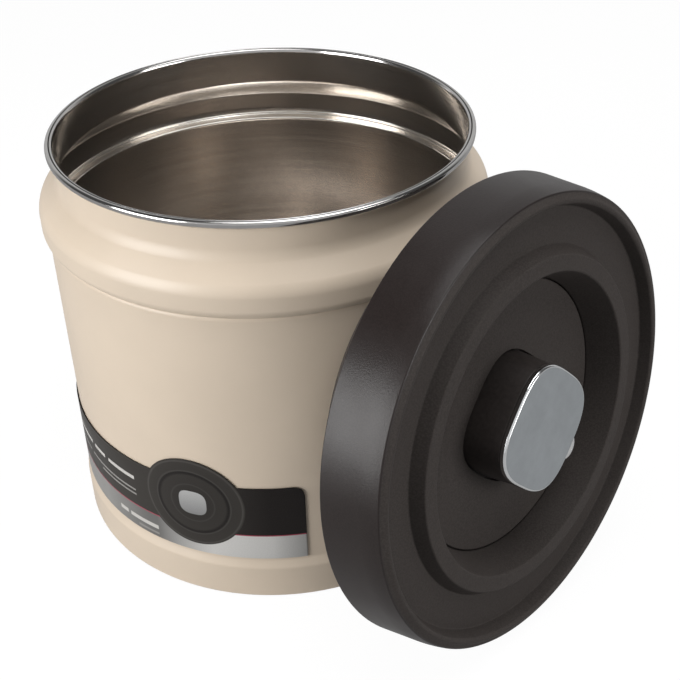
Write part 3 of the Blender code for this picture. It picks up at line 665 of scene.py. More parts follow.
@dataclass(frozen=True)
class LabelPrint(Finish):
    """A printed wrap-round sticker, drawn in metres from its right end and the table."""

    roughness: float = 0.3
    edge: float = 0.0001
    strip_top: float = 0.0289
    strip_turn: tuple[float, float] = (0.034, 0.056)
    rule_top: float = 0.0293
    rule_ink: Colour = (0.42, 0.07, 0.11)
    dot_ink: Colour = (0.09, 0.085, 0.08)
    dot_share: float = 0.10
    medal_place: tuple[float, float] = (0.0398, 0.0410)
    badge_power: float = 3.0

    def dress(self, bench: Bench) -> None:
        """Lay the finish's nodes.

        Args:
            bench: The material's nodes.
        """
        along, up, _ = bench.split(bench.add("ShaderNodeUVMap", uv_map="print").outputs["UV"])
        flat = bench.merge(along, up, 0.0)
        # The dark field and the silver strip carry painted shade at the label's right end.
        field_ink_shaded, silver_shaded, dull = (
            self._ink(bench, along, ramp) for ramp in (FIELD_INK_SHADED, SILVER_INK_SHADED, DULL_INK)
        )
        strip_ink_shaded = bench.mix(bench.spread(along, *self.strip_turn), silver_shaded, dull)
        colour = bench.mix(self._below(bench, up, self.strip_top), field_ink_shaded, strip_ink_shaded)
        rule = bench.band(up, self.strip_top, self.rule_top, self.edge)
        colour = bench.mix(rule, colour, self.rule_ink)
        for bar in BARS:
            across = bench.band(along, bar.right, bar.left, self.edge)
            rise = bench.band(up, bar.bottom, bar.top, self.edge)
            colour = bench.mix(bench.sum("MULTIPLY", across, rise), colour, bar.ink)
        colour = self._medallion(bench, colour, along, up)
        dots = bench.spread(bench.noise(flat, 2400.0, 2.0), 0.3, 0.7)
        dotted = bench.mix(bench.sum("MULTIPLY", dots, self.dot_share), colour, self.dot_ink)
        worn = self.worn(bench, Drift(bench.noise(flat, 150.0, 4.0), 0.3, 0.7, 0.0, 0.08))
        bench.surface(Base_Color=dotted, Roughness=worn, Specular_IOR_Level=0.15)
        bench.relief(bench.noise(flat, 500.0, 2.0), 0.000008)

    def _ink(self, bench: Bench, measure: Socket, ramp: Ramp) -> Socket:
        """A ramp's ink, read at a measure."""
        return bench.mix(bench.spread(measure, ramp.start, ramp.end), ramp.first, ramp.last)

    def _below(self, bench: Bench, measure: Socket, limit: float) -> Socket:
        """A mask that is 1 below a limit."""
        return bench.spread(measure, limit - self.edge, limit + self.edge, 1.0, 0.0)

    def _medallion(self, bench: Bench, colour: Socket, along: Socket, up: Socket) -> Socket:
        """A round dark medallion with turned ring lines and a plain rounded square.

        Args:
            bench: The material's nodes.
            colour: The print so far.
            along: Distance from the label's right end.
            up: Height.

        Returns:
            The print with the medallion on it.
        """
        across, rise = (
            bench.sum("SUBTRACT", way, middle) for way, middle in zip((along, up), self.medal_place)
        )
        reach = bench.reach(bench.merge(across, rise, 0.0))
        face = self._ink(bench, reach, MEDAL_INK)
        for ring in RINGS:
            face = bench.mix(bench.band(reach, ring.inner, ring.outer, ring.soft), face, ring.ink)
        colour = bench.mix(self._below(bench, reach, MEDAL_INK.end), colour, face)
        sides = []
        for way in (across, rise):
            share = bench.sum("ABSOLUTE", bench.sum("DIVIDE", way, BADGE_INK.end))
            sides.append(bench.sum("POWER", share, self.badge_power))
        square = bench.spread(bench.sum("ADD", *sides), 0.95, 1.05, 1.0, 0.0)
        return bench.mix(square, colour, self._ink(bench, rise, BADGE_INK))


BEIGE_PAINT = SatinPaint((0.73, 0.614, 0.488))
LINER_STEEL = TurnedSteel((0.77, 0.725, 0.68), 0.19, 0.000002)
LEDGE_STEEL = PolishedMetal((0.74, 0.71, 0.66), 0.16)
RIM_STEEL = PolishedMetal((0.56, 0.55, 0.54), 0.10)
# Near-black steel laid in the rim's crease: painted shade in the groove, not the steel's own colour.
CREASE_SHADE_STEEL = PolishedMetal((0.035, 0.033, 0.031), 0.35)
LID_BROWN = Moulding((0.057, 0.0495, 0.046), 0.5, sheen=0.05)
# The skirt's satin gloss is its own; its brown, darker than the face's, is painted shade.
SKIRT_BROWN_SHADED = Moulding((0.021, 0.0155, 0.0145), 0.33, sheen=0.33)
COLUMN_BLACK = Moulding((0.034, 0.028, 0.026), 0.5, Skin.SMOOTH, sheen=0.3)
LINER_BROWN = Moulding((0.040, 0.034, 0.032), 0.45, Skin.SMOOTH, sheen=0.3)
INNER_WHITE = Moulding((0.70, 0.69, 0.66), 0.42, Skin.SMOOTH)
INNER_BLACK = Moulding((0.016, 0.015, 0.015), 0.42, Skin.SMOOTH)
# One plating in two copies: the darkened one on the cap's face is a painted dark reflection, the brighter one
# on its bevel a painted highlight.
CAP_MIRROR_DIMMED = PolishedMetal((0.54, 0.575, 0.60), 0.07, 0.03)
CAP_EDGE_GLINT = PolishedMetal((0.92, 0.93, 0.94), 0.12)
KNOB_PLATING = PolishedMetal((0.92, 0.92, 0.92), 0.1, 0.04)
CLOUDY_SILICONE = SoftSilicone((0.62, 0.61, 0.58))
PAD_RUBBER = StandRubber((0.045, 0.043, 0.041))
SMALL_STEEL = DrawnWire((0.55, 0.54, 0.52))
SCREEN_WIRE = WovenMesh((0.55, 0.54, 0.52))
PRINTED_LABEL = LabelPrint((0.030, 0.027, 0.025))


# Shaping


class Corner(NamedTuple):
    """A corner of a turned profile: radius, height, and how far back its rounding starts."""

    radius: float
    height: float
    ease: float = 0.0


@dataclass(frozen=True)
class Seat:
    """The axis that a sub-assembly is made on, and the body that it moves with."""

    axis: Matrix
    body: str

    def moved(self, x: float, y: float) -> "Seat":
        """The same seat, set sideways on its own axis."""
        return Seat(self.axis @ Matrix.Translation((x, y, 0.0)), self.body)


class Spring(NamedTuple):
    """A coil on the lid's axis or beside it, and the joint that shortens it."""

    name: str
    node: str
    joint: str
    radius: float
    wire: float
    turns: float
    low: float
    high: float
    travel: float


BUTTON_SPRING = Spring(
    "button_coil",
    "return_spring",
    "button_press",
    radius=0.0100,
    wire=0.0004,
    turns=4.5,
    low=-0.01365,
    high=-0.00101,
    travel=0.0090,
)
RELEASE_SPRING = Spring(
    "release_coil",
    "release_spring",
    "release_press",
    radius=0.0033,
    wire=0.00025,
    turns=5.5,
    low=-0.03057,
    high=-0.02417,
    travel=0.0018,
)


def spun(
    shape: bmesh.types.BMesh, angle: float, steps: int, climb: float = 0.0, closed: bool = True
) -> None:
    """Spin a profile about the axis.

    Args:
        shape: The shape that holds the profile.
        angle: How far it is spun.
        steps: In how many steps.
        climb: How far each step rises.
        closed: Whether the last step is the first one again.
    """
    bmesh.ops.spin(
        shape,
        geom=shape.verts[:] + shape.edges[:],
        cent=(0.0, 0.0, 0.0),
        axis=(0.0, 0.0, 1.0),
        dvec=(0.0, 0.0, climb),
        angle=angle,
        steps=steps,
        use_merge=closed,
        use_duplicate=False,
    )


class Blank:
    """A piece's mesh while it is being made, on its sub-assembly's axis."""

    def __init__(self) -> None:
        """Start with nothing."""
        self.shape = bmesh.new()

    def turn(
        self, corners: Sequence[Corner], steps: int = ROUND, hollow: bool = True, fine: int = 5
    ) -> "Blank":
        """Turn a profile round the axis, its corners eased first.

        Args:
            corners: The profile's corners in order.
            steps: How many steps a full turn has.
            hollow: Whether the profile closes on itself. Otherwise it starts and ends on the axis.
            fine: How many segments an eased corner has.

        Returns:
            This blank.
        """
        shape = bmesh.new()
        marks = [shape.verts.new((corner.radius, 0.0, corner.height)) for corner in corners]
        for mark, after in zip(marks, marks[1:]):
            shape.edges.new((mark, after))
        if hollow:
            shape.edges.new((marks[-1], marks[0]))
        for mark, corner in zip(marks, corners):
            if corner.ease > 0.0:
                bmesh.ops.bevel(
                    shape,
                    geom=[mark],
                    offset=corner.ease,
                    offset_type="OFFSET",
                    affect="VERTICES",
                    segments=fine,
                    profile=0.5,
                    material=-1,
                )
        spun(shape, math.tau, steps)
        self._take(shape)
        return self

    def draw(
        self, sections: Sequence[tuple[float, float]], power: float, steps: int = SQUARED_ROUND
    ) -> "Blank":
        """Draw a rounded square up or down its axis.

        Args:
            sections: Half widths and heights.
            power: How square it is. Two is a circle.
            steps: How many corners the outline has.

        Returns:
            This blank.
        """
        shape = bmesh.new()
        half, height = sections[0]
        start = Matrix.Translation((0.0, 0.0, height))
        ring = bmesh.ops.create_circle(shape, cap_ends=False, segments=steps, radius=1.0, matrix=start)
        for mark in ring["verts"]:
            for way in (0, 1):
                mark.co[way] = math.copysign(half * abs(mark.co[way]) ** (2.0 / power), mark.co[way])
        edges = shape.edges[:]
        bmesh.ops.contextual_create(shape, geom=edges)
        for (before, _), (after, level) in zip(sections, sections[1:]):
            made = bmesh.ops.extrude_edge_only(shape, edges=edges)["geom"]
            for mark in (part for part in made if isinstance(part, bmesh.types.BMVert)):
                mark.co = mark.co * (after / before)
                mark.co.z = level
            edges = [part for part in made if isinstance(part, bmesh.types.BMEdge) and part.is_boundary]
        bmesh.ops.contextual_create(shape, geom=edges)
        self._take(shape)
        return self

    def coil(self, spring: Spring) -> "Blank":
        """Wind a round wire about the axis, climbing at a steady rate.

        Args:
            spring: The coil's sizes.

        Returns:
            This blank.
        """
        shape = bmesh.new()
        wire = spring.wire
        count = round(spring.turns * SPRING_ROUND)
        rise = spring.high - spring.low - wire - wire
        place = Matrix.Translation((spring.radius, 0.0, spring.low + wire))
        start = place @ Matrix.Rotation(math.pi / 2.0, 4, "X")
        bmesh.ops.create_circle(shape, cap_ends=False, segments=WIRE_SIDES, radius=wire, matrix=start)
        spun(shape, math.tau * spring.turns, count, rise / count, closed=False)
        bmesh.ops.holes_fill(shape, edges=shape.edges[:])
        self._take(shape)
        return self

    def _take(self, shape: bmesh.types.BMesh) -> None:
        """Close a new closed shape, face it outwards and add it to the blank.

        Args:
            shape: The new shape, which is used up.
        """
        bmesh.ops.remove_doubles(shape, verts=shape.verts[:], dist=SEAM)
        bmesh.ops.recalc_face_normals(shape, faces=shape.faces[:])
        if shape.calc_volume(signed=True) < 0.0:
            bmesh.ops.reverse_faces(shape, faces=shape.faces[:])
        carrier = bpy.data.meshes.new("carrier")
        shape.to_mesh(carrier)
        shape.free()
        self.shape.from_mesh(carrier)
        bpy.data.meshes.remove(carrier)

    def shifted(self, x: float, y: float, z: float = 0.0) -> "Blank":
        """Move all of it on its axis."""
        bmesh.ops.translate(self.shape, verts=self.shape.verts[:], vec=(x, y, z))
        return self

    def turned(self, angle: float) -> "Blank":
        """Turn all of it about its axis."""
        turn = Matrix.Rotation(angle, 3, "Z")
        bmesh.ops.rotate(self.shape, verts=self.shape.verts[:], cent=(0.0, 0.0, 0.0), matrix=turn)
        return self

    def _loose(self, name: str) -> bpy.types.Object:
        """The blank as an object in the scene.

        Args:
            name: The object's name.

        Returns:
            The object.
        """
        mesh = bpy.data.meshes.new(name)
        self.shape.to_mesh(mesh)
        obj = bpy.data.objects.new(name, mesh)
        bpy.context.scene.collection.objects.link(obj)
        return obj

    def worked(self, tools: Sequence["Blank"], operation: str = "DIFFERENCE") -> "Blank":
        """Cut the blank with others, or join them to it.

        Args:
            tools: The other blanks, which are used up.
            operation: Blender's name for what is done.

        Returns:
            This blank.
        """
        body = self._loose("stock")
        cutters = [tool._loose("cutter") for tool in tools]
        for cutter in cutters:
            step = body.modifiers.new("work", "BOOLEAN")
            step.operation = operation
            step.solver = "EXACT"
            step.object = cutter
        graph = bpy.context.evaluated_depsgraph_get()
        result = bpy.data.meshes.new_from_object(body.evaluated_get(graph))
        self.shape.clear()
        self.shape.from_mesh(result)
        for obj in (body, *cutters):
            mesh = obj.data
            bpy.data.objects.remove(obj, do_unlink=True)
            bpy.data.meshes.remove(mesh)
        bpy.data.meshes.remove(result)
        for tool in tools:
            tool.shape.free()
        return self

    def seat(
        self,
        name: str,
        seat: Seat,
        finishes: Sequence[Finish],
        stands_for: Sequence[str] = (),
        slot: str = "",
        zone: Zone | None = None,
    ) -> bpy.types.Object:
        """Finish the piece and put it in its place.

        Args:
            name: The piece's name.
            seat: Its axis and its body.
            finishes: The finishes that it shows.
            stands_for: The frame's nodes that it replaces.
            slot: The record's material slot; not used.
            zone: Which finish a face gets, from its middle and its normal on the axis.

        Returns:
            The piece.
        """
        if zone is not None:
            for face in self.shape.faces:
                face.material_index = zone(face.calc_center_median(), face.normal)
        bmesh.ops.transform(self.shape, matrix=seat.axis, verts=self.shape.verts[:])
        mesh = bpy.data.meshes.new(name)
        self.shape.to_mesh(mesh)
        self.shape.free()
        mesh.shade_smooth()
        mesh.set_sharp_from_angle(angle=SHARP_ANGLE)
        for number, finish in enumerate(finishes):
            label = name if number == 0 else f"{name}_{number + 1}"
            mesh.materials.append(finish.material(label, seat.axis))
        piece = bpy.data.objects.new(name, mesh)
        bpy.context.scene.collection.objects.link(piece)
        even = piece.modifiers.new("even_shading", "WEIGHTED_NORMAL")
        even.keep_sharp = True
        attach(piece, seat.body)
        if stands_for:
            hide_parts(*stands_for)
        return piece


def around(count: int, circle: float, turn: float = 0.0) -> list[tuple[float, float]]:
    """X and Y of places spread evenly on a circle, the first at an angle."""
    angles = [turn + math.tau * number / count for number in range(count)]
    return [(circle * math.cos(angle), circle * math.sin(angle)) for angle in angles]


def pin(place: tuple[float, float], sections: Sequence[tuple[float, float]], steps: int = 32) -> Blank:
    """A round stepped solid at a place.

    Args:
        place: Its X and Y.
        sections: Radii and heights from its low end to its high one.
        steps: How many steps a turn has.

    Returns:
        The blank.
    """
    low, high = sections[0][1], sections[-1][1]
    path = [Corner(0.0, low), *(Corner(radius, height) for radius, height in sections), Corner(0.0, high)]
    return Blank().turn(path, steps, hollow=False).shifted(*place)


def dressed(node: str, finish: Finish, seat: Seat) -> None:
    """Give a node of the frame a better material.

    Args:
        node: The node's name.
        finish: Its finish.
        seat: The axis that its pattern follows.
    """
    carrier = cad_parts[node]
    material = finish.material(f"{node}_finish", seat.axis)
    for slot in carrier.material_slots:
        slot.material = material


# Canister


@dataclass
class Canister:
    """The standing canister: shell, floor pan, foot and label."""

    height: float = 0.1502
    sheet: float = 0.0006
    rim_radius: float = 0.0739
    rim_inner: float = 0.0716
    rim_crease: float = 0.07242
    crease_depth: float = 0.0006
    crease_shade_lip: float = 0.00022
    crease_shade_half: float = 0.00026
    bead: float = 0.0025
    neck_radius: float = 0.0718
    neck_foot: float = 0.1377
    bulge_radius: float = 0.0792
    bulge_top: float = 0.12935
    bulge_foot: float = 0.12066
    seam_radius: float = 0.0769
    seam_height: float = 0.1189
    seam_step: float = 0.0009
    body_radius: float = 0.0773
    flare_top: float = 0.0173
    flare_foot: float = 0.0138
    foot_radius: float = 0.0786
    foot_bottom: float = 0.0003
    foot_edge: float = 0.0006
    flange_radius: float = 0.0700
    ledge_radius: float = 0.0751
    ledge_height: float = 0.1196
    ledge_root: float = 0.1209
    ledge_undercut: float = 0.0007
    gap: float = 0.0003
    floor_top: float = 0.0056
    floor_sheet: float = 0.0010
    floor_rise: float = 0.0010
    floor_step: float = 0.0100
    pad_chamfer: float = 0.0004
    pad_grooves: tuple[float, ...] = (0.014, 0.026, 0.038, 0.050, 0.062)
    label_thickness: float = 0.0003
    label_right: float = math.radians(-81.4)
    label_sweep: float = math.radians(106.0)
    label_bottom: float = 0.0183
    label_top: float = 0.0506
    label_corner: float = 0.0040
    medal_angle: float = math.radians(-110.8)
    medal_radius: float = 0.0190
    medal_height: float = 0.0410
    label_columns: int = 288
    label_rows: int = 6
    seat: Seat = field(default_factory=lambda: Seat(Matrix.Identity(4), "canister"))

    def build(self) -> list[bpy.types.Object]:
        """Make and dress every piece of the canister.

        Returns:
            The new pieces.
        """
        made = [self._shell(), self._floor(), self._pad(), self._label()]
        dressed("base_plate", BEIGE_PAINT, self.seat)
        return made

    def _shell(self) -> bpy.types.Object:
        """The painted sheet, its rolled rim and its bare inside.

        Returns:
            The piece.
        """
        under_bead = self.height - self.bead
        inner = self.sheet
        crease = self.rim_crease
        outside = [
            Corner(self.rim_inner, self.height - 0.0001, 0.00045),
            Corner(crease - 0.0002, self.height - 0.0001, 0.00015),
            Corner(crease, self.height - self.crease_depth, 0.00008),
            Corner(crease + 0.00025, self.height, 0.00015),
            Corner(self.rim_radius, self.height, 0.00105),
            Corner(self.rim_radius, under_bead, 0.00105),
            Corner(self.neck_radius, under_bead, 0.0005),
            Corner(self.neck_radius, self.neck_foot, 0.0024),
            Corner(self.bulge_radius, self.bulge_top, 0.0026),
            Corner(self.bulge_radius, self.bulge_foot, 0.0017),
            Corner(self.seam_radius, self.seam_height, 0.0004),
            Corner(self.body_radius, self.seam_height - self.seam_step, 0.0005),
            Corner(self.body_radius, self.flare_top, 0.0006),
            Corner(self.foot_radius, self.flare_foot, 0.0006),
            Corner(self.foot_radius, self.foot_bottom, self.foot_edge),
            Corner(self.flange_radius, self.foot_bottom, 0.0002),
        ]
        ledge_foot = self.ledge_height - self.ledge_undercut
        inside = [
            Corner(self.flange_radius, self.foot_bottom + inner, 0.0002),
            Corner(self.foot_radius - inner, self.foot_bottom + inner, 0.0001),
            Corner(self.foot_radius - inner, self.flare_foot, 0.0006),
            Corner(self.body_radius - inner, self.flare_top, 0.0006),
            Corner(self.body_radius - inner, ledge_foot - 0.0006, 0.0003),
            Corner(self.ledge_radius, ledge_foot, 0.0002),
            Corner(self.ledge_radius, self.ledge_height, 0.0003),
            Corner(self.ledge_radius + 0.0021, self.ledge_height + 0.0008, 0.0001),
            Corner(self.ledge_radius + 0.0023, self.ledge_height + 0.0006, 0.0001),
            Corner(self.ledge_radius + 0.0026, self.ledge_height + 0.0010, 0.0001),
            Corner(self.bulge_radius - 0.0009, self.ledge_root, 0.0003),
            Corner(self.bulge_radius - inner, self.ledge_root + 0.0018, 0.0006),
            Corner(self.bulge_radius - inner, self.bulge_top - 0.0002, 0.0006),
            Corner(self.neck_radius - inner, self.neck_foot - 0.0011, 0.0008),
            Corner(self.neck_radius - inner, self.height - 0.0012, 0.0003),
        ]
        rim_level = self.height - self.bead * 1.02
        bright = (ledge_foot - 0.0001, self.ledge_root + 0.0003)

        def zone(middle: Vector, normal: Vector) -> int:
            """Paint outside; polish on the rim, with near-black steel in its crease as painted shade; steel
            inside, with its bright polished ledge.
            """
            reach = math.hypot(middle.x, middle.y)
            if middle.z > rim_level:
                # Faces sunk in the rim's crease get the near-black finish, which is painted shade.
                sunk = middle.z < self.height - self.crease_shade_lip
                return 3 if sunk and abs(reach - crease) < self.crease_shade_half else 1
            outward = normal.x * middle.x + normal.y * middle.y
            level_foot = abs(normal.z) > 0.9 and middle.z < self.foot_bottom + inner / 2.0
            if outward > 0.0 or level_foot:
                return 0
            return 4 if bright[0] < middle.z < bright[1] else 2

        blank = Blank().turn(outside + inside, fine=7)
        finishes = (BEIGE_PAINT, RIM_STEEL, LINER_STEEL, CREASE_SHADE_STEEL, LEDGE_STEEL)
        return blank.seat("canister_shell", self.seat, finishes, ["vessel_wall"], "vessel_wall", zone)

    def _floor(self) -> bpy.types.Object:
        """The pressed floor pan inside.

        Returns:
            The piece.
        """
        edge = self.foot_radius - self.sheet - self.gap
        step, rise = edge - self.floor_step, self.floor_rise
        top, low = self.floor_top + rise, self.floor_top
        panel = step * 0.55
        corners = [
            Corner(0.0, top),
            Corner(panel, top, 0.0012),
            Corner(panel + 0.0022, top - rise * 0.45, 0.0008),
            Corner(panel + 0.0044, top, 0.0012),
            Corner(step, top, 0.0008),
            Corner(step + rise, low, 0.0006),
            Corner(edge, low, 0.0002),
            Corner(edge, low - self.floor_sheet, 0.0002),
            Corner(step + rise, low - self.floor_sheet, 0.0006),
            Corner(step, top - self.floor_sheet, 0.0008),
            Corner(0.0, top - self.floor_sheet),
        ]
        blank = Blank().turn(corners, hollow=False)
        return blank.seat("floor_pan", self.seat, (LINER_STEEL,), ["vessel_floor"], "vessel_floor")

    def _pad(self) -> bpy.types.Object:
        """The rubber pad underneath, with rings pressed in it.

        Returns:
            The piece.
        """
        top = self.foot_bottom + self.sheet
        edge = self.flange_radius - self.gap
        groove, wide = self.pad_chamfer, self.pad_chamfer * 2.0
        corners = [Corner(0.0, top), Corner(edge, top, 0.0002), Corner(edge, groove, 0.0002)]
        corners.append(Corner(edge - groove, 0.0))
        for ring in reversed(self.pad_grooves):
            corners += [
                Corner(ring + wide, 0.0),
                Corner(ring + groove, groove, 0.0001),
                Corner(ring - groove, groove, 0.0001),
                Corner(ring - wide, 0.0),
            ]
        corners.append(Corner(0.0, 0.0))
        blank = Blank().turn(corners, hollow=False, fine=3)
        return blank.seat("foot_pad", self.seat, (PAD_RUBBER,), ["base_pad"], "base_pad")

    def _label_edge(self, angle: float, radius: float) -> float:
        """Height of the label's upper edge.

        Args:
            angle: Where it is read, round the canister.
            radius: The label's radius.

        Returns:
            The height.
        """
        side = min(self.label_right - angle, angle - self.label_right + self.label_sweep) * radius
        height = self.label_top
        if side < self.label_corner:
            reach = self.label_corner - side
            height -= self.label_corner - math.sqrt(max(self.label_corner**2 - reach**2, 0.0))
        across = (angle - self.medal_angle) * radius
        if abs(across) < self.medal_radius:
            height = max(height, self.medal_height + math.sqrt(self.medal_radius**2 - across**2))
        return height

    def _label(self) -> bpy.types.Object:
        """The printed sticker, bent round the body.

        Returns:
            The piece.
        """
        radius = self.body_radius + self.gap
        blank = Blank()
        shape = blank.shape
        print_map = shape.loops.layers.uv.new("print")
        bmesh.ops.create_grid(shape, x_segments=self.label_columns, y_segments=self.label_rows, size=1.0)
        for mark in shape.verts:
            along, up = (mark.co.x + 1.0) / 2.0, (mark.co.y + 1.0) / 2.0
            angle = self.label_right - self.label_sweep * (1.0 - along)
            top = self._label_edge(angle, radius)
            mark.co = (angle, self.label_bottom + (top - self.label_bottom) * up, 0.0)
        for face in shape.faces:
            for loop in face.loops:
                angle, height, _ = loop.vert.co
                loop[print_map].uv = ((self.label_right - angle) * radius, height)
        for mark in shape.verts:
            angle, height, _ = mark.co
            mark.co = (radius * math.cos(angle), radius * math.sin(angle), height)
        piece = blank.seat("wrap_label", self.seat, (PRINTED_LABEL,), ["label"], "label")
        skin = piece.modifiers.new("thickness", "SOLIDIFY")
        skin.thickness = self.label_thickness
        skin.offset = 1.0
        piece.modifiers.move(1, 0)
        return piece


# Lid


@dataclass
class Lid:
    """The lid's fixed pieces: cover, well plate, liner, gasket, screws and screen."""

    lean: float = math.radians(7.2)
    azimuth: float = math.radians(-43.3)
    middle: tuple[float, float, float] = (0.0869430, -0.0853661, 0.0804503)
    ring_inner: float = 0.0506
    ring_outer: float = 0.0560
    ring_base: float = 0.0585
    annulus: float = -0.0044
    lip_base: float = 0.0703
    lip_inner: float = 0.0717
    lip_crest: float = 0.0730
    lip_outer: float = 0.0743
    lip_top: float = 0.0003
    lip_groove: float = 0.0009
    skirt_top_radius: float = 0.0776
    skirt_radius: float = 0.0785
    skirt_turn: float = -0.0132
    skirt_bottom: float = -0.0205
    skirt_wall: float = 0.0020
    cover_wall: float = 0.0026
    well_wall: float = 0.0464
    plate_radius: float = 0.0459
    plate_top: float = -0.01115
    plate_bottom: float = -0.01315
    ledge_inner: float = 0.0419
    ledge_top: float = -0.01345
    ledge_bottom: float = -0.01515
    button_opening: float = 0.0211
    button_power: float = 3.0
    knob_offset: float = 0.0325
    knob_opening: float = 0.0056
    screw_count: int = 3
    screw_turn: float = math.radians(100.0)
    post_circle: float = 0.0382
    post_radius: float = 0.0032
    pilot: float = 0.0014
    liner_radius: float = 0.0696
    liner_top: float = -0.0073
    liner_wall: float = 0.0022
    liner_side_wall: float = 0.0046
    liner_end_radius: float = 0.0606
    liner_foot_inner: float = 0.0440
    liner_edge: float = 0.0030
    liner_floor: float = -0.0309
    liner_under: float = -0.0331
    plug_depth: float = 0.0361
    groove_top: float = -0.0105
    groove_height: float = 0.0052
    groove_depth: float = 0.0024
    gasket_lip: float = 0.0014
    gasket_lip_thickness: float = 0.0012
    gap: float = 0.0003
    vent_count: int = 4
    vent_circle: float = 0.0045
    vent_radius: float = 0.0012
    release_hole: float = 0.0030
    cylinder_screw_circle: float = 0.0205
    head_radius: float = 0.0028
    head_height: float = 0.0016
    shank_radius: float = 0.0011
    screw_length: float = 0.0085
    holder_radius: float = 0.0130
    holder_height: float = 0.0024
    holder_wall: float = 0.0017
    holder_lip: float = 0.0018
    holder_lip_thickness: float = 0.0006
    knurl_count: int = 24
    knurl_radius: float = 0.00045
    knurl_out: float = 0.00015
    valve_stem_hole: float = 0.0017
    cylinder_pilot: float = 0.0011
    cylinder_bite: float = 0.0015
    recess_width: float = 0.00055
    recess_height: float = 0.0018
    recess_turn: float = 0.35

    def __post_init__(self) -> None:
        """Work out where the lid's axis lies."""
        swing = Matrix.Rotation(self.azimuth, 4, "Z")
        tip = Matrix.Rotation(math.pi / 2.0 - self.lean, 4, "Y")
        upright = Matrix.Rotation(math.radians(135.0), 4, "Z")
        self.axis = Matrix.Translation(self.middle) @ swing @ tip @ upright
        self.seat = Seat(self.axis, "lid")

    def build(self) -> list[bpy.types.Object]:
        """Make and dress every fixed piece of the lid.

        Returns:
            The new pieces.
        """
        made = [self._cover(), self._plate(), self._liner(), self._gasket(), self._holder()]
        made += self._screws()
        made += self._springs()
        self._dress_inside()
        return made

    def _cover(self) -> bpy.types.Object:
        """The moulded cover: raised ring, flat annulus, lip and skirt.

        Returns:
            The piece.
        """
        under = self.annulus - self.cover_wall
        well_back = self.well_wall + self.cover_wall
        corners = [
            Corner(self.ring_inner, 0.0, 0.0005),
            Corner(self.ring_outer, 0.0, 0.0004),
            Corner(self.ring_base, self.annulus, 0.0003),
            Corner(self.lip_base, self.annulus, 0.0004),
            Corner(self.lip_inner, self.lip_top - 0.0003, 0.0006),
            Corner(self.lip_crest, self.lip_top, 0.0004),
            Corner(self.lip_outer, self.lip_top - self.lip_groove, 0.0007),
            Corner(self.lip_outer + 0.0012, self.lip_top - self.lip_groove * 1.15, 0.0004),
            Corner(self.skirt_top_radius - 0.0010, -0.0048, 0.0022),
            Corner(self.skirt_top_radius, self.skirt_turn, 0.0030),
            Corner(self.skirt_radius, self.skirt_bottom, 0.0005),
            Corner(self.skirt_radius - self.skirt_wall, self.skirt_bottom, 0.0005),
            Corner(self.skirt_top_radius - self.skirt_wall, self.skirt_turn, 0.0020),
            Corner(self.skirt_top_radius - self.cover_wall, under, 0.0008),
            Corner(self.ring_base, under, 0.0006),
            Corner(self.ring_outer - 0.0005, -self.cover_wall, 0.0005),
            Corner(self.ring_inner + self.cover_wall, -self.cover_wall, 0.0005),
            Corner(well_back, self.ledge_bottom, 0.0004),
            Corner(self.ledge_inner, self.ledge_bottom, 0.0003),
            Corner(self.ledge_inner, self.ledge_top, 0.0003),
            Corner(self.well_wall, self.ledge_top, 0.0001),
            Corner(self.well_wall, self.plate_top, 0.0001),
        ]

        def zone(middle: Vector, normal: Vector) -> int:
            """Matt on the face and underneath; satin on the skirt, in a darker brown that is painted shade.
            """
            outward = normal.x * middle.x + normal.y * middle.y
            skirt = math.hypot(middle.x, middle.y) > self.lip_outer + 0.0006
            return 1 if skirt and outward > 0.0 else 0

        blank = Blank().turn(corners)
        finishes = (LID_BROWN, SKIRT_BROWN_SHADED)
        return blank.seat("cover_shell", self.seat, finishes, ["lid_cover"], "lid_cover", zone)

    def _plate(self) -> bpy.types.Object:
        """The round plate in the well, its openings and its screw posts.

        Returns:
            The piece.
        """
        top, bottom, ease = self.plate_top, self.plate_bottom, 0.00035
        disc = Blank().turn(
            [
                Corner(0.0, top),
                Corner(self.plate_radius, top, ease),
                Corner(self.plate_radius, bottom, 0.0002),
                Corner(0.0, bottom),
            ],
            hollow=False,
            fine=4,
        )
        opening = self.button_opening
        square = Blank().draw(
            [
                (opening, bottom - 0.002),
                (opening, top - ease),
                (opening + ease * 0.3, top - ease * 0.3),
                (opening + ease, top + 0.0001),
                (opening + ease, top + 0.002),
            ],
            self.button_power,
        )
        hole = self.knob_opening
        wide = hole + ease
        sections = [(hole, bottom - 0.002), (hole, top - ease), (wide, top + 0.0001), (wide, top + 0.002)]
        knob = pin((0.0, -self.knob_offset), sections, SMALL_ROUND)
        disc.worked([square, knob])
        spots = around(self.screw_count, self.post_circle, self.screw_turn)
        foot, root = self.liner_floor + self.gap, (top + bottom) / 2.0
        radius = self.post_radius
        posts = [pin(spot, [(radius, foot), (radius, root)]) for spot in spots]
        pilots = [pin(spot, [(self.pilot, foot - 0.001), (self.pilot, foot + 0.006)], 20) for spot in spots]
        disc.worked(posts, "UNION").worked(pilots)
        return disc.seat("well_disc", self.seat, (LID_BROWN,), ["well_plate"], "well_plate")

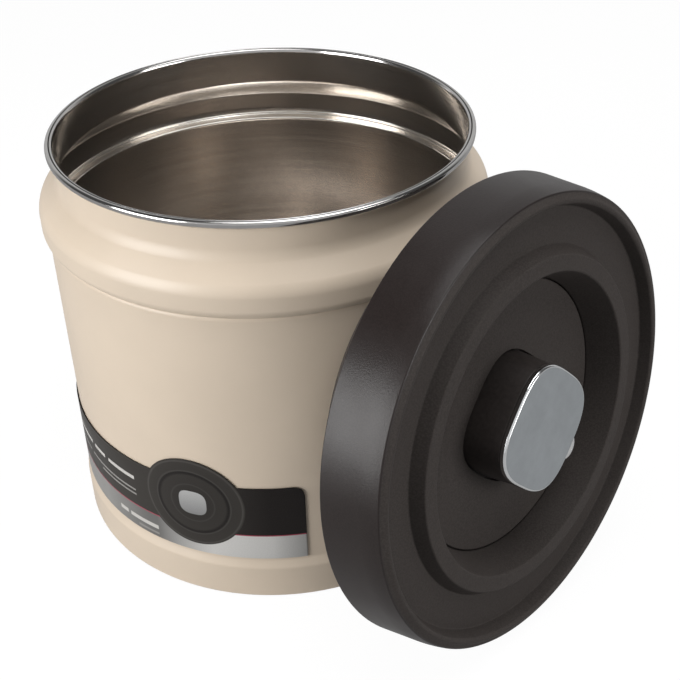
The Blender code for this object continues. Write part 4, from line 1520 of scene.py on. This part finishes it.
    def _liner(self) -> bpy.types.Object:
        """The plug underneath, with its gasket groove, holes and vents.

        Returns:
            The piece.
        """
        groove_floor = self.liner_radius - self.groove_depth
        groove_bottom = self.groove_top - self.groove_height
        inside = self.liner_radius - self.liner_side_wall
        foot, step = -self.plug_depth, self.liner_foot_inner
        wall_end = self.liner_end_radius - self.liner_wall
        blank = Blank().turn(
            [
                Corner(0.0, self.liner_floor),
                Corner(step - self.liner_wall, self.liner_floor, 0.0006),
                Corner(step, foot + self.liner_wall, 0.0006),
                Corner(wall_end, foot + self.liner_wall, 0.0012),
                Corner(inside, groove_bottom, 0.0015),
                Corner(inside, self.liner_top, 0.0004),
                Corner(self.liner_radius, self.liner_top, 0.0004),
                Corner(self.liner_radius, self.groove_top, 0.0003),
                Corner(groove_floor, self.groove_top, 0.0003),
                Corner(groove_floor, groove_bottom, 0.0003),
                Corner(self.liner_radius, groove_bottom, 0.0004),
                Corner(self.liner_end_radius + self.liner_edge / 2.0, foot + self.liner_edge, 0.0008),
                Corner(self.liner_end_radius - self.liner_edge * 0.1, foot, 0.0018),
                Corner(step, foot, 0.0008),
                Corner(step, self.liner_under, 0.0007),
                Corner(0.0, self.liner_under),
            ],
            hollow=False,
        )
        low, high, ease = self.liner_under - 0.002, self.liner_floor + 0.002, 0.00025

        def bore(place: tuple[float, float], radius: float) -> Blank:
            """A hole with an eased mouth underneath."""
            sections = [
                (radius + ease, low),
                (radius + ease, self.liner_under),
                (radius, self.liner_under + ease),
                (radius, high),
            ]
            return pin(place, sections, 28)

        posts = around(self.screw_count, self.post_circle, self.screw_turn)
        holes = [bore(spot, self.shank_radius + self.gap) for spot in posts]
        holes += [bore(spot, self.vent_radius) for spot in around(self.vent_count, self.vent_circle)]
        holes.append(bore((0.0, 0.0), self.valve_stem_hole))
        holes.append(bore((0.0, -self.knob_offset), self.release_hole))
        pilot, blind = self.cylinder_pilot, self.liner_floor - self.cylinder_bite
        for spot in around(self.screw_count, self.cylinder_screw_circle, self.screw_turn):
            holes.append(pin(spot, [(pilot, blind), (pilot, high)], 16))
        blank.worked(holes)
        return blank.seat("plug_liner", self.seat, (LINER_BROWN,), ["lid_liner"], "lid_liner")

    def _gasket(self) -> bpy.types.Object:
        """The silicone ring with two soft lips.

        Returns:
            The piece.
        """
        seat = self.liner_radius - self.groove_depth + self.gap
        top = self.groove_top - self.gap
        bottom = self.groove_top - self.groove_height + self.gap
        lip, thick = self.liner_radius + self.gasket_lip, self.gasket_lip_thickness
        root = self.liner_radius - 0.0004
        blank = Blank().turn(
            [
                Corner(seat, top, 0.0002),
                Corner(lip - thick, top, 0.0003),
                Corner(lip, top - thick * 0.75, 0.00035),
                Corner(lip - 0.0004, top - thick * 1.15, 0.0002),
                Corner(root, top - thick * 1.4, 0.0003),
                Corner(root, bottom + thick * 1.4, 0.0003),
                Corner(lip - 0.0004, bottom + thick * 1.15, 0.0002),
                Corner(lip, bottom + thick * 0.75, 0.00035),
                Corner(lip - thick, bottom, 0.0003),
                Corner(seat, bottom, 0.0002),
            ],
            fine=4,
        )
        return blank.seat("seal_ring", self.seat, (CLOUDY_SILICONE,), ["lid_gasket"], "lid_gasket")

    def _holder(self) -> bpy.types.Object:
        """The ring that holds the fine screen over the intake, with a knurled side.

        Returns:
            The piece.
        """
        top = self.liner_under - self.gap
        bottom = top - self.holder_height
        shelf = bottom + self.holder_lip_thickness
        inner = self.holder_radius - self.holder_wall
        blank = Blank().turn(
            [
                Corner(self.holder_radius, top, 0.0002),
                Corner(self.holder_radius, bottom, 0.0005),
                Corner(inner - self.holder_lip, bottom, 0.0002),
                Corner(inner - self.holder_lip, shelf, 0.0001),
                Corner(inner, shelf, 0.0001),
                Corner(inner, top, 0.0002),
            ],
            steps=96,
            fine=4,
        )
        notches = [
            pin(spot, [(self.knurl_radius, bottom - 0.001), (self.knurl_radius, top - 0.0006)], 10)
            for spot in around(self.knurl_count, self.holder_radius + self.knurl_out)
        ]
        blank.worked(notches)
        return blank.seat("holder_ring", self.seat, (INNER_BLACK,), ["screen_holder"], "screen_holder")

    def _screws(self) -> list[bpy.types.Object]:
        """The three cross-recess screws that hold the liner.

        Returns:
            The pieces.
        """
        under = self.liner_under - self.gap
        low = under - self.head_height
        end = self.liner_under + self.screw_length
        made = []
        spots = around(self.screw_count, self.post_circle, self.screw_turn)
        for number, (x, y) in enumerate(spots, start=1):
            blank = Blank().turn(
                [
                    Corner(0.0, end),
                    Corner(self.shank_radius * 0.6, end - 0.0002),
                    Corner(self.shank_radius, end - 0.0012),
                    Corner(self.shank_radius, under),
                    Corner(self.head_radius, under, 0.0002),
                    Corner(self.head_radius, low + 0.0003, 0.0006),
                    Corner(self.head_radius * 0.6, low, 0.0006),
                    Corner(0.0, low),
                ],
                SCREW_ROUND,
                hollow=False,
                fine=4,
            )
            angle = self.recess_turn * number
            blank.worked([self._slot(low, angle), self._slot(low, angle + math.pi / 2.0)])
            node = f"liner_screw_{number}"
            place = self.seat.moved(x, y)
            made.append(blank.seat(f"plug_screw_{number}", place, (SMALL_STEEL,), [node], "screws"))
        return made

    def _slot(self, low: float, angle: float) -> Blank:
        """One arm pair of a screw's cross recess.

        Args:
            low: The head's face.
            angle: How it is turned.

        Returns:
            The cutter.
        """
        blank = Blank()
        bmesh.ops.create_cube(blank.shape, size=1.0)
        arm = self.head_radius * 1.1
        sides = (arm, self.recess_width, self.recess_height)
        bmesh.ops.scale(blank.shape, verts=blank.shape.verts[:], vec=sides)
        return blank.turned(angle).shifted(0.0, 0.0, low)

    def _springs(self) -> list[bpy.types.Object]:
        """The two coils, under the button and under the knob.

        Returns:
            The pieces.
        """
        made = []
        for spring, offset in ((BUTTON_SPRING, 0.0), (RELEASE_SPRING, self.knob_offset)):
            seat = self.seat.moved(0.0, -offset)
            blank = Blank().coil(spring)
            coil = blank.seat(spring.name, seat, (SMALL_STEEL,), [spring.node], spring.node)
            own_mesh(coil)
            made.append(coil)
        return made

    def _dress_inside(self) -> None:
        """Give the frame's own pieces inside the lid their finishes."""
        for node, finish in (
            ("pump_cylinder", INNER_WHITE),
            ("cylinder_cap", INNER_BLACK),
            ("intake_valve", CLOUDY_SILICONE),
            ("dust_screen", SCREEN_WIRE),
            ("cylinder_screw_1", SMALL_STEEL),
            ("cylinder_screw_2", SMALL_STEEL),
            ("cylinder_screw_3", SMALL_STEEL),
        ):
            dressed(node, finish, self.seat)


# Moving pieces


@dataclass
class PumpButton:
    """The pump's button: black sleeve, mirror cap, and the piston under it."""

    axis: Matrix
    half: float = 0.0206
    taper: float = 0.0009
    power: float = 3.0
    wall: float = 0.0018
    flange_half: float = 0.0232
    flange_top: float = -0.01345
    flange_bottom: float = -0.01485
    plate_top: float = -0.01115
    ceiling: float = -0.0007
    upper: float = 0.0013
    cap_bottom: float = 0.0016
    cap_top: float = 0.0035
    cap_bevel: float = 0.0007
    cap_overlap: float = 0.0003

    def __post_init__(self) -> None:
        """Take the lid's axis for the moving pieces."""
        self.seat = Seat(self.axis, "button")

    def build(self) -> list[bpy.types.Object]:
        """Make and dress the button.

        Returns:
            The new pieces.
        """
        made = [self._sleeve(), self._cap()]
        for node, finish in (
            ("pump_piston", INNER_WHITE),
            ("piston_seal", CLOUDY_SILICONE),
            ("exhaust_flap", CLOUDY_SILICONE),
        ):
            dressed(node, finish, self.seat)
        return made

    def _sleeve(self) -> bpy.types.Object:
        """The black sleeve, flanged at its foot.

        Returns:
            The piece.
        """
        top = self.half - self.taper
        ease = 0.0004
        sections = [
            (top - self.wall, self.ceiling),
            (self.half - self.wall, self.flange_bottom),
            (self.flange_half, self.flange_bottom),
            (self.flange_half, self.flange_top),
            (self.half, self.flange_top),
            (self.half, self.plate_top),
            (top + 0.00004, self.upper - ease),
            (top - ease * 0.3, self.upper - ease * 0.3),
            (top - ease, self.upper),
        ]
        blank = Blank().draw(sections, self.power)
        return blank.seat("button_sleeve", self.seat, (COLUMN_BLACK,), ["button_column"], "button_column")

    def _cap(self) -> bpy.types.Object:
        """The polished cap with its bevelled edge.

        Returns:
            The piece.
        """
        half = self.half - self.taper + self.cap_overlap
        bevel = self.cap_bevel
        sections = [
            (half - 0.0002, self.cap_bottom),
            (half, self.cap_bottom + 0.0002),
            (half, self.cap_top - bevel),
            (half - bevel * 0.12, self.cap_top - bevel * 0.62),
            (half - bevel * 0.62, self.cap_top - bevel * 0.12),
            (half - bevel, self.cap_top),
        ]

        def zone(middle: Vector, normal: Vector) -> int:
            """A darkened copy of the plating on the face as painted dark reflection, a brighter copy on the
            bevel round it as painted highlight.
            """
            return 0 if normal.z > 0.99 else 1

        blank = Blank().draw(sections, self.power)
        finishes = (CAP_MIRROR_DIMMED, CAP_EDGE_GLINT)
        return blank.seat("button_plate", self.seat, finishes, ["button_cap"], "button_cap", zone)


@dataclass
class ReleaseValve:
    """The small round release knob and the valve under it."""

    axis: Matrix
    offset: float = 0.0325
    radius: float = 0.0052
    top: float = -0.00415
    bottom: float = -0.01315
    edge: float = 0.0010

    def __post_init__(self) -> None:
        """Set the valve's own axis beside the lid's."""
        self.seat = Seat(self.axis, "release").moved(0.0, -self.offset)

    def build(self) -> list[bpy.types.Object]:
        """Make and dress the release valve.

        Returns:
            The new pieces.
        """
        blank = Blank().turn(
            [
                Corner(0.0, self.top - 0.0002),
                Corner(self.radius * 0.55, self.top - 0.0002, 0.0004),
                Corner(self.radius * 0.66, self.top, 0.0003),
                Corner(self.radius, self.top, self.edge),
                Corner(self.radius, self.top - 0.0042, 0.0003),
                Corner(self.radius - 0.0004, self.top - 0.0046, 0.0002),
                Corner(self.radius - 0.0004, self.top - 0.0052, 0.0002),
                Corner(self.radius, self.top - 0.0056, 0.0003),
                Corner(self.radius, self.bottom, 0.0002),
                Corner(0.0, self.bottom),
            ],
            SMALL_ROUND,
            hollow=False,
        )
        knob = blank.seat("release_button", self.seat, (KNOB_PLATING,), ["release_knob"], "release_knob")
        dressed("release_stem", INNER_BLACK, self.seat)
        dressed("release_plug", CLOUDY_SILICONE, self.seat)
        return [knob]


# Studio


class Lamp(NamedTuple):
    """A square lamp: where it hangs, what it points at, its side and its power."""

    name: str
    place: tuple[float, float, float]
    aim: tuple[float, float, float]
    size: float
    watts: float


LAMPS = (
    Lamp("key", (-0.755, -0.51, 0.30), (0.0, 0.0, 0.08), 0.6, 7.7),
    Lamp("fill", (0.882, -0.487, 0.224), (0.08, -0.06, 0.08), 0.45, 3.9),
    Lamp("overhead", (0.17, -0.10, 0.98), (0.0, 0.0, 0.1), 0.7, 5.6),
)


@dataclass
class Studio:
    """Camera, floor and soft lights."""

    eye: tuple[float, float, float] = (0.02505, -0.37201, 0.30957)
    pitch: float = math.radians(55.94)
    roll: float = math.radians(-1.62)
    lens: float = 60.88
    sensor: float = 36.0
    floor_size: float = 6.0
    floor_tone: float = 0.34
    floor_glow: float = 1.22
    floor_mirrored: float = 0.45
    floor_share: float = 0.78
    sky: float = 0.1
    sky_side: float = 0.08
    sky_wall: float = 0.62
    sky_turn: tuple[float, float] = (0.35, 0.75)

    def build(self) -> None:
        """Set up the camera, the floor, the sky and the lamps."""
        self._camera()
        self._floor()
        self._sky()
        for plan in LAMPS:
            self._lamp(plan)

    def _camera(self) -> None:
        """Put the camera where the photograph was taken."""
        lens = bpy.data.cameras.new("photo_camera")
        lens.lens = self.lens
        lens.sensor_width = self.sensor
        lens.clip_start = 0.01
        camera = bpy.data.objects.new("photo_camera", lens)
        bpy.context.scene.collection.objects.link(camera)
        tilt = Matrix.Rotation(self.pitch, 4, "X") @ Matrix.Rotation(self.roll, 4, "Z")
        camera.matrix_world = Matrix.Translation(self.eye) @ tilt
        bpy.context.scene.camera = camera

    def _floor(self) -> None:
        """A plain white floor that keeps the object's shadow."""
        shape = bmesh.new()
        bmesh.ops.create_grid(shape, x_segments=1, y_segments=1, size=self.floor_size / 2.0)
        mesh = bpy.data.meshes.new("studio_floor")
        shape.to_mesh(mesh)
        shape.free()
        floor = bpy.data.objects.new("studio_floor", mesh)
        bpy.context.scene.collection.objects.link(floor)
        floor.location.z = -0.0002
        bench = Bench("studio_floor", Matrix.Identity(4))
        bench.surface(Base_Color=(self.floor_tone,) * 3, Roughness=0.9, Specular_IOR_Level=0.0)
        seen, mirrored = bench.rays()
        glow = bench.add("ShaderNodeEmission")
        bench.feed(glow.inputs["Strength"], bench.chosen(seen, self.floor_mirrored, self.floor_glow))
        unseen = bench.chosen(mirrored, 0.0, self.floor_share)
        blend = bench.add("ShaderNodeMixShader")
        parts = (bench.chosen(seen, unseen, self.floor_share), bench.shader.outputs[0], glow.outputs[0])
        for target, value in zip(blend.inputs, parts):
            bench.feed(target, value)
        bench.feed(bench.tree.nodes["Material Output"].inputs["Surface"], blend.outputs[0])
        mesh.materials.append(bench.material)

    def _sky(self) -> None:
        """White to the eye, softer as a light, and mirrored as a pale wall in front and one behind."""
        world = bpy.data.worlds.new("studio_sky")
        bpy.context.scene.world = world
        world.use_nodes = True
        nodes = Nodes(world.node_tree)
        sky = nodes.tree.nodes["Background"].inputs
        nodes.feed(sky["Color"], (1.0, 1.0, 1.0))
        _, ahead, _ = nodes.split(nodes.add("ShaderNodeTexCoord").outputs["Object"])
        either_way = nodes.sum("ABSOLUTE", ahead)
        walls = nodes.spread(either_way, *self.sky_turn, self.sky_side, self.sky_wall, "SMOOTHSTEP")
        seen, mirrored = nodes.rays()
        level = nodes.chosen(mirrored, self.sky, walls)
        nodes.feed(sky["Strength"], nodes.chosen(seen, level, 1.0))

    def _lamp(self, plan: Lamp) -> None:
        """Hang a square soft lamp.

        Args:
            plan: Its place, its aim, its size and its power.
        """
        light = bpy.data.lights.new(plan.name, "AREA")
        light.size = plan.size
        light.energy = plan.watts
        lamp = bpy.data.objects.new(plan.name, light)
        bpy.context.scene.collection.objects.link(lamp)
        lamp.location = plan.place
        lamp.rotation_euler = (Vector(plan.aim) - Vector(plan.place)).to_track_quat("-Z", "Y").to_euler()


def main() -> None:
    """Build each sub-assembly and the studio round it."""
    logging.basicConfig(level=logging.INFO, format="%(name)s: %(message)s")
    lid = Lid()
    for title, assembly in (
        ("canister", Canister()),
        ("lid", lid),
        ("button", PumpButton(lid.axis)),
        ("release valve", ReleaseValve(lid.axis)),
    ):
        for piece in assembly.build():
            LOG.info("%s: %s, %d faces", title, piece.name, len(piece.data.polygons))
    Studio().build()
    LOG.info("studio: camera, floor and lamps")
    bpy.context.scene.view_settings.view_transform = "Standard"


if __name__ == "__main__":
    main()
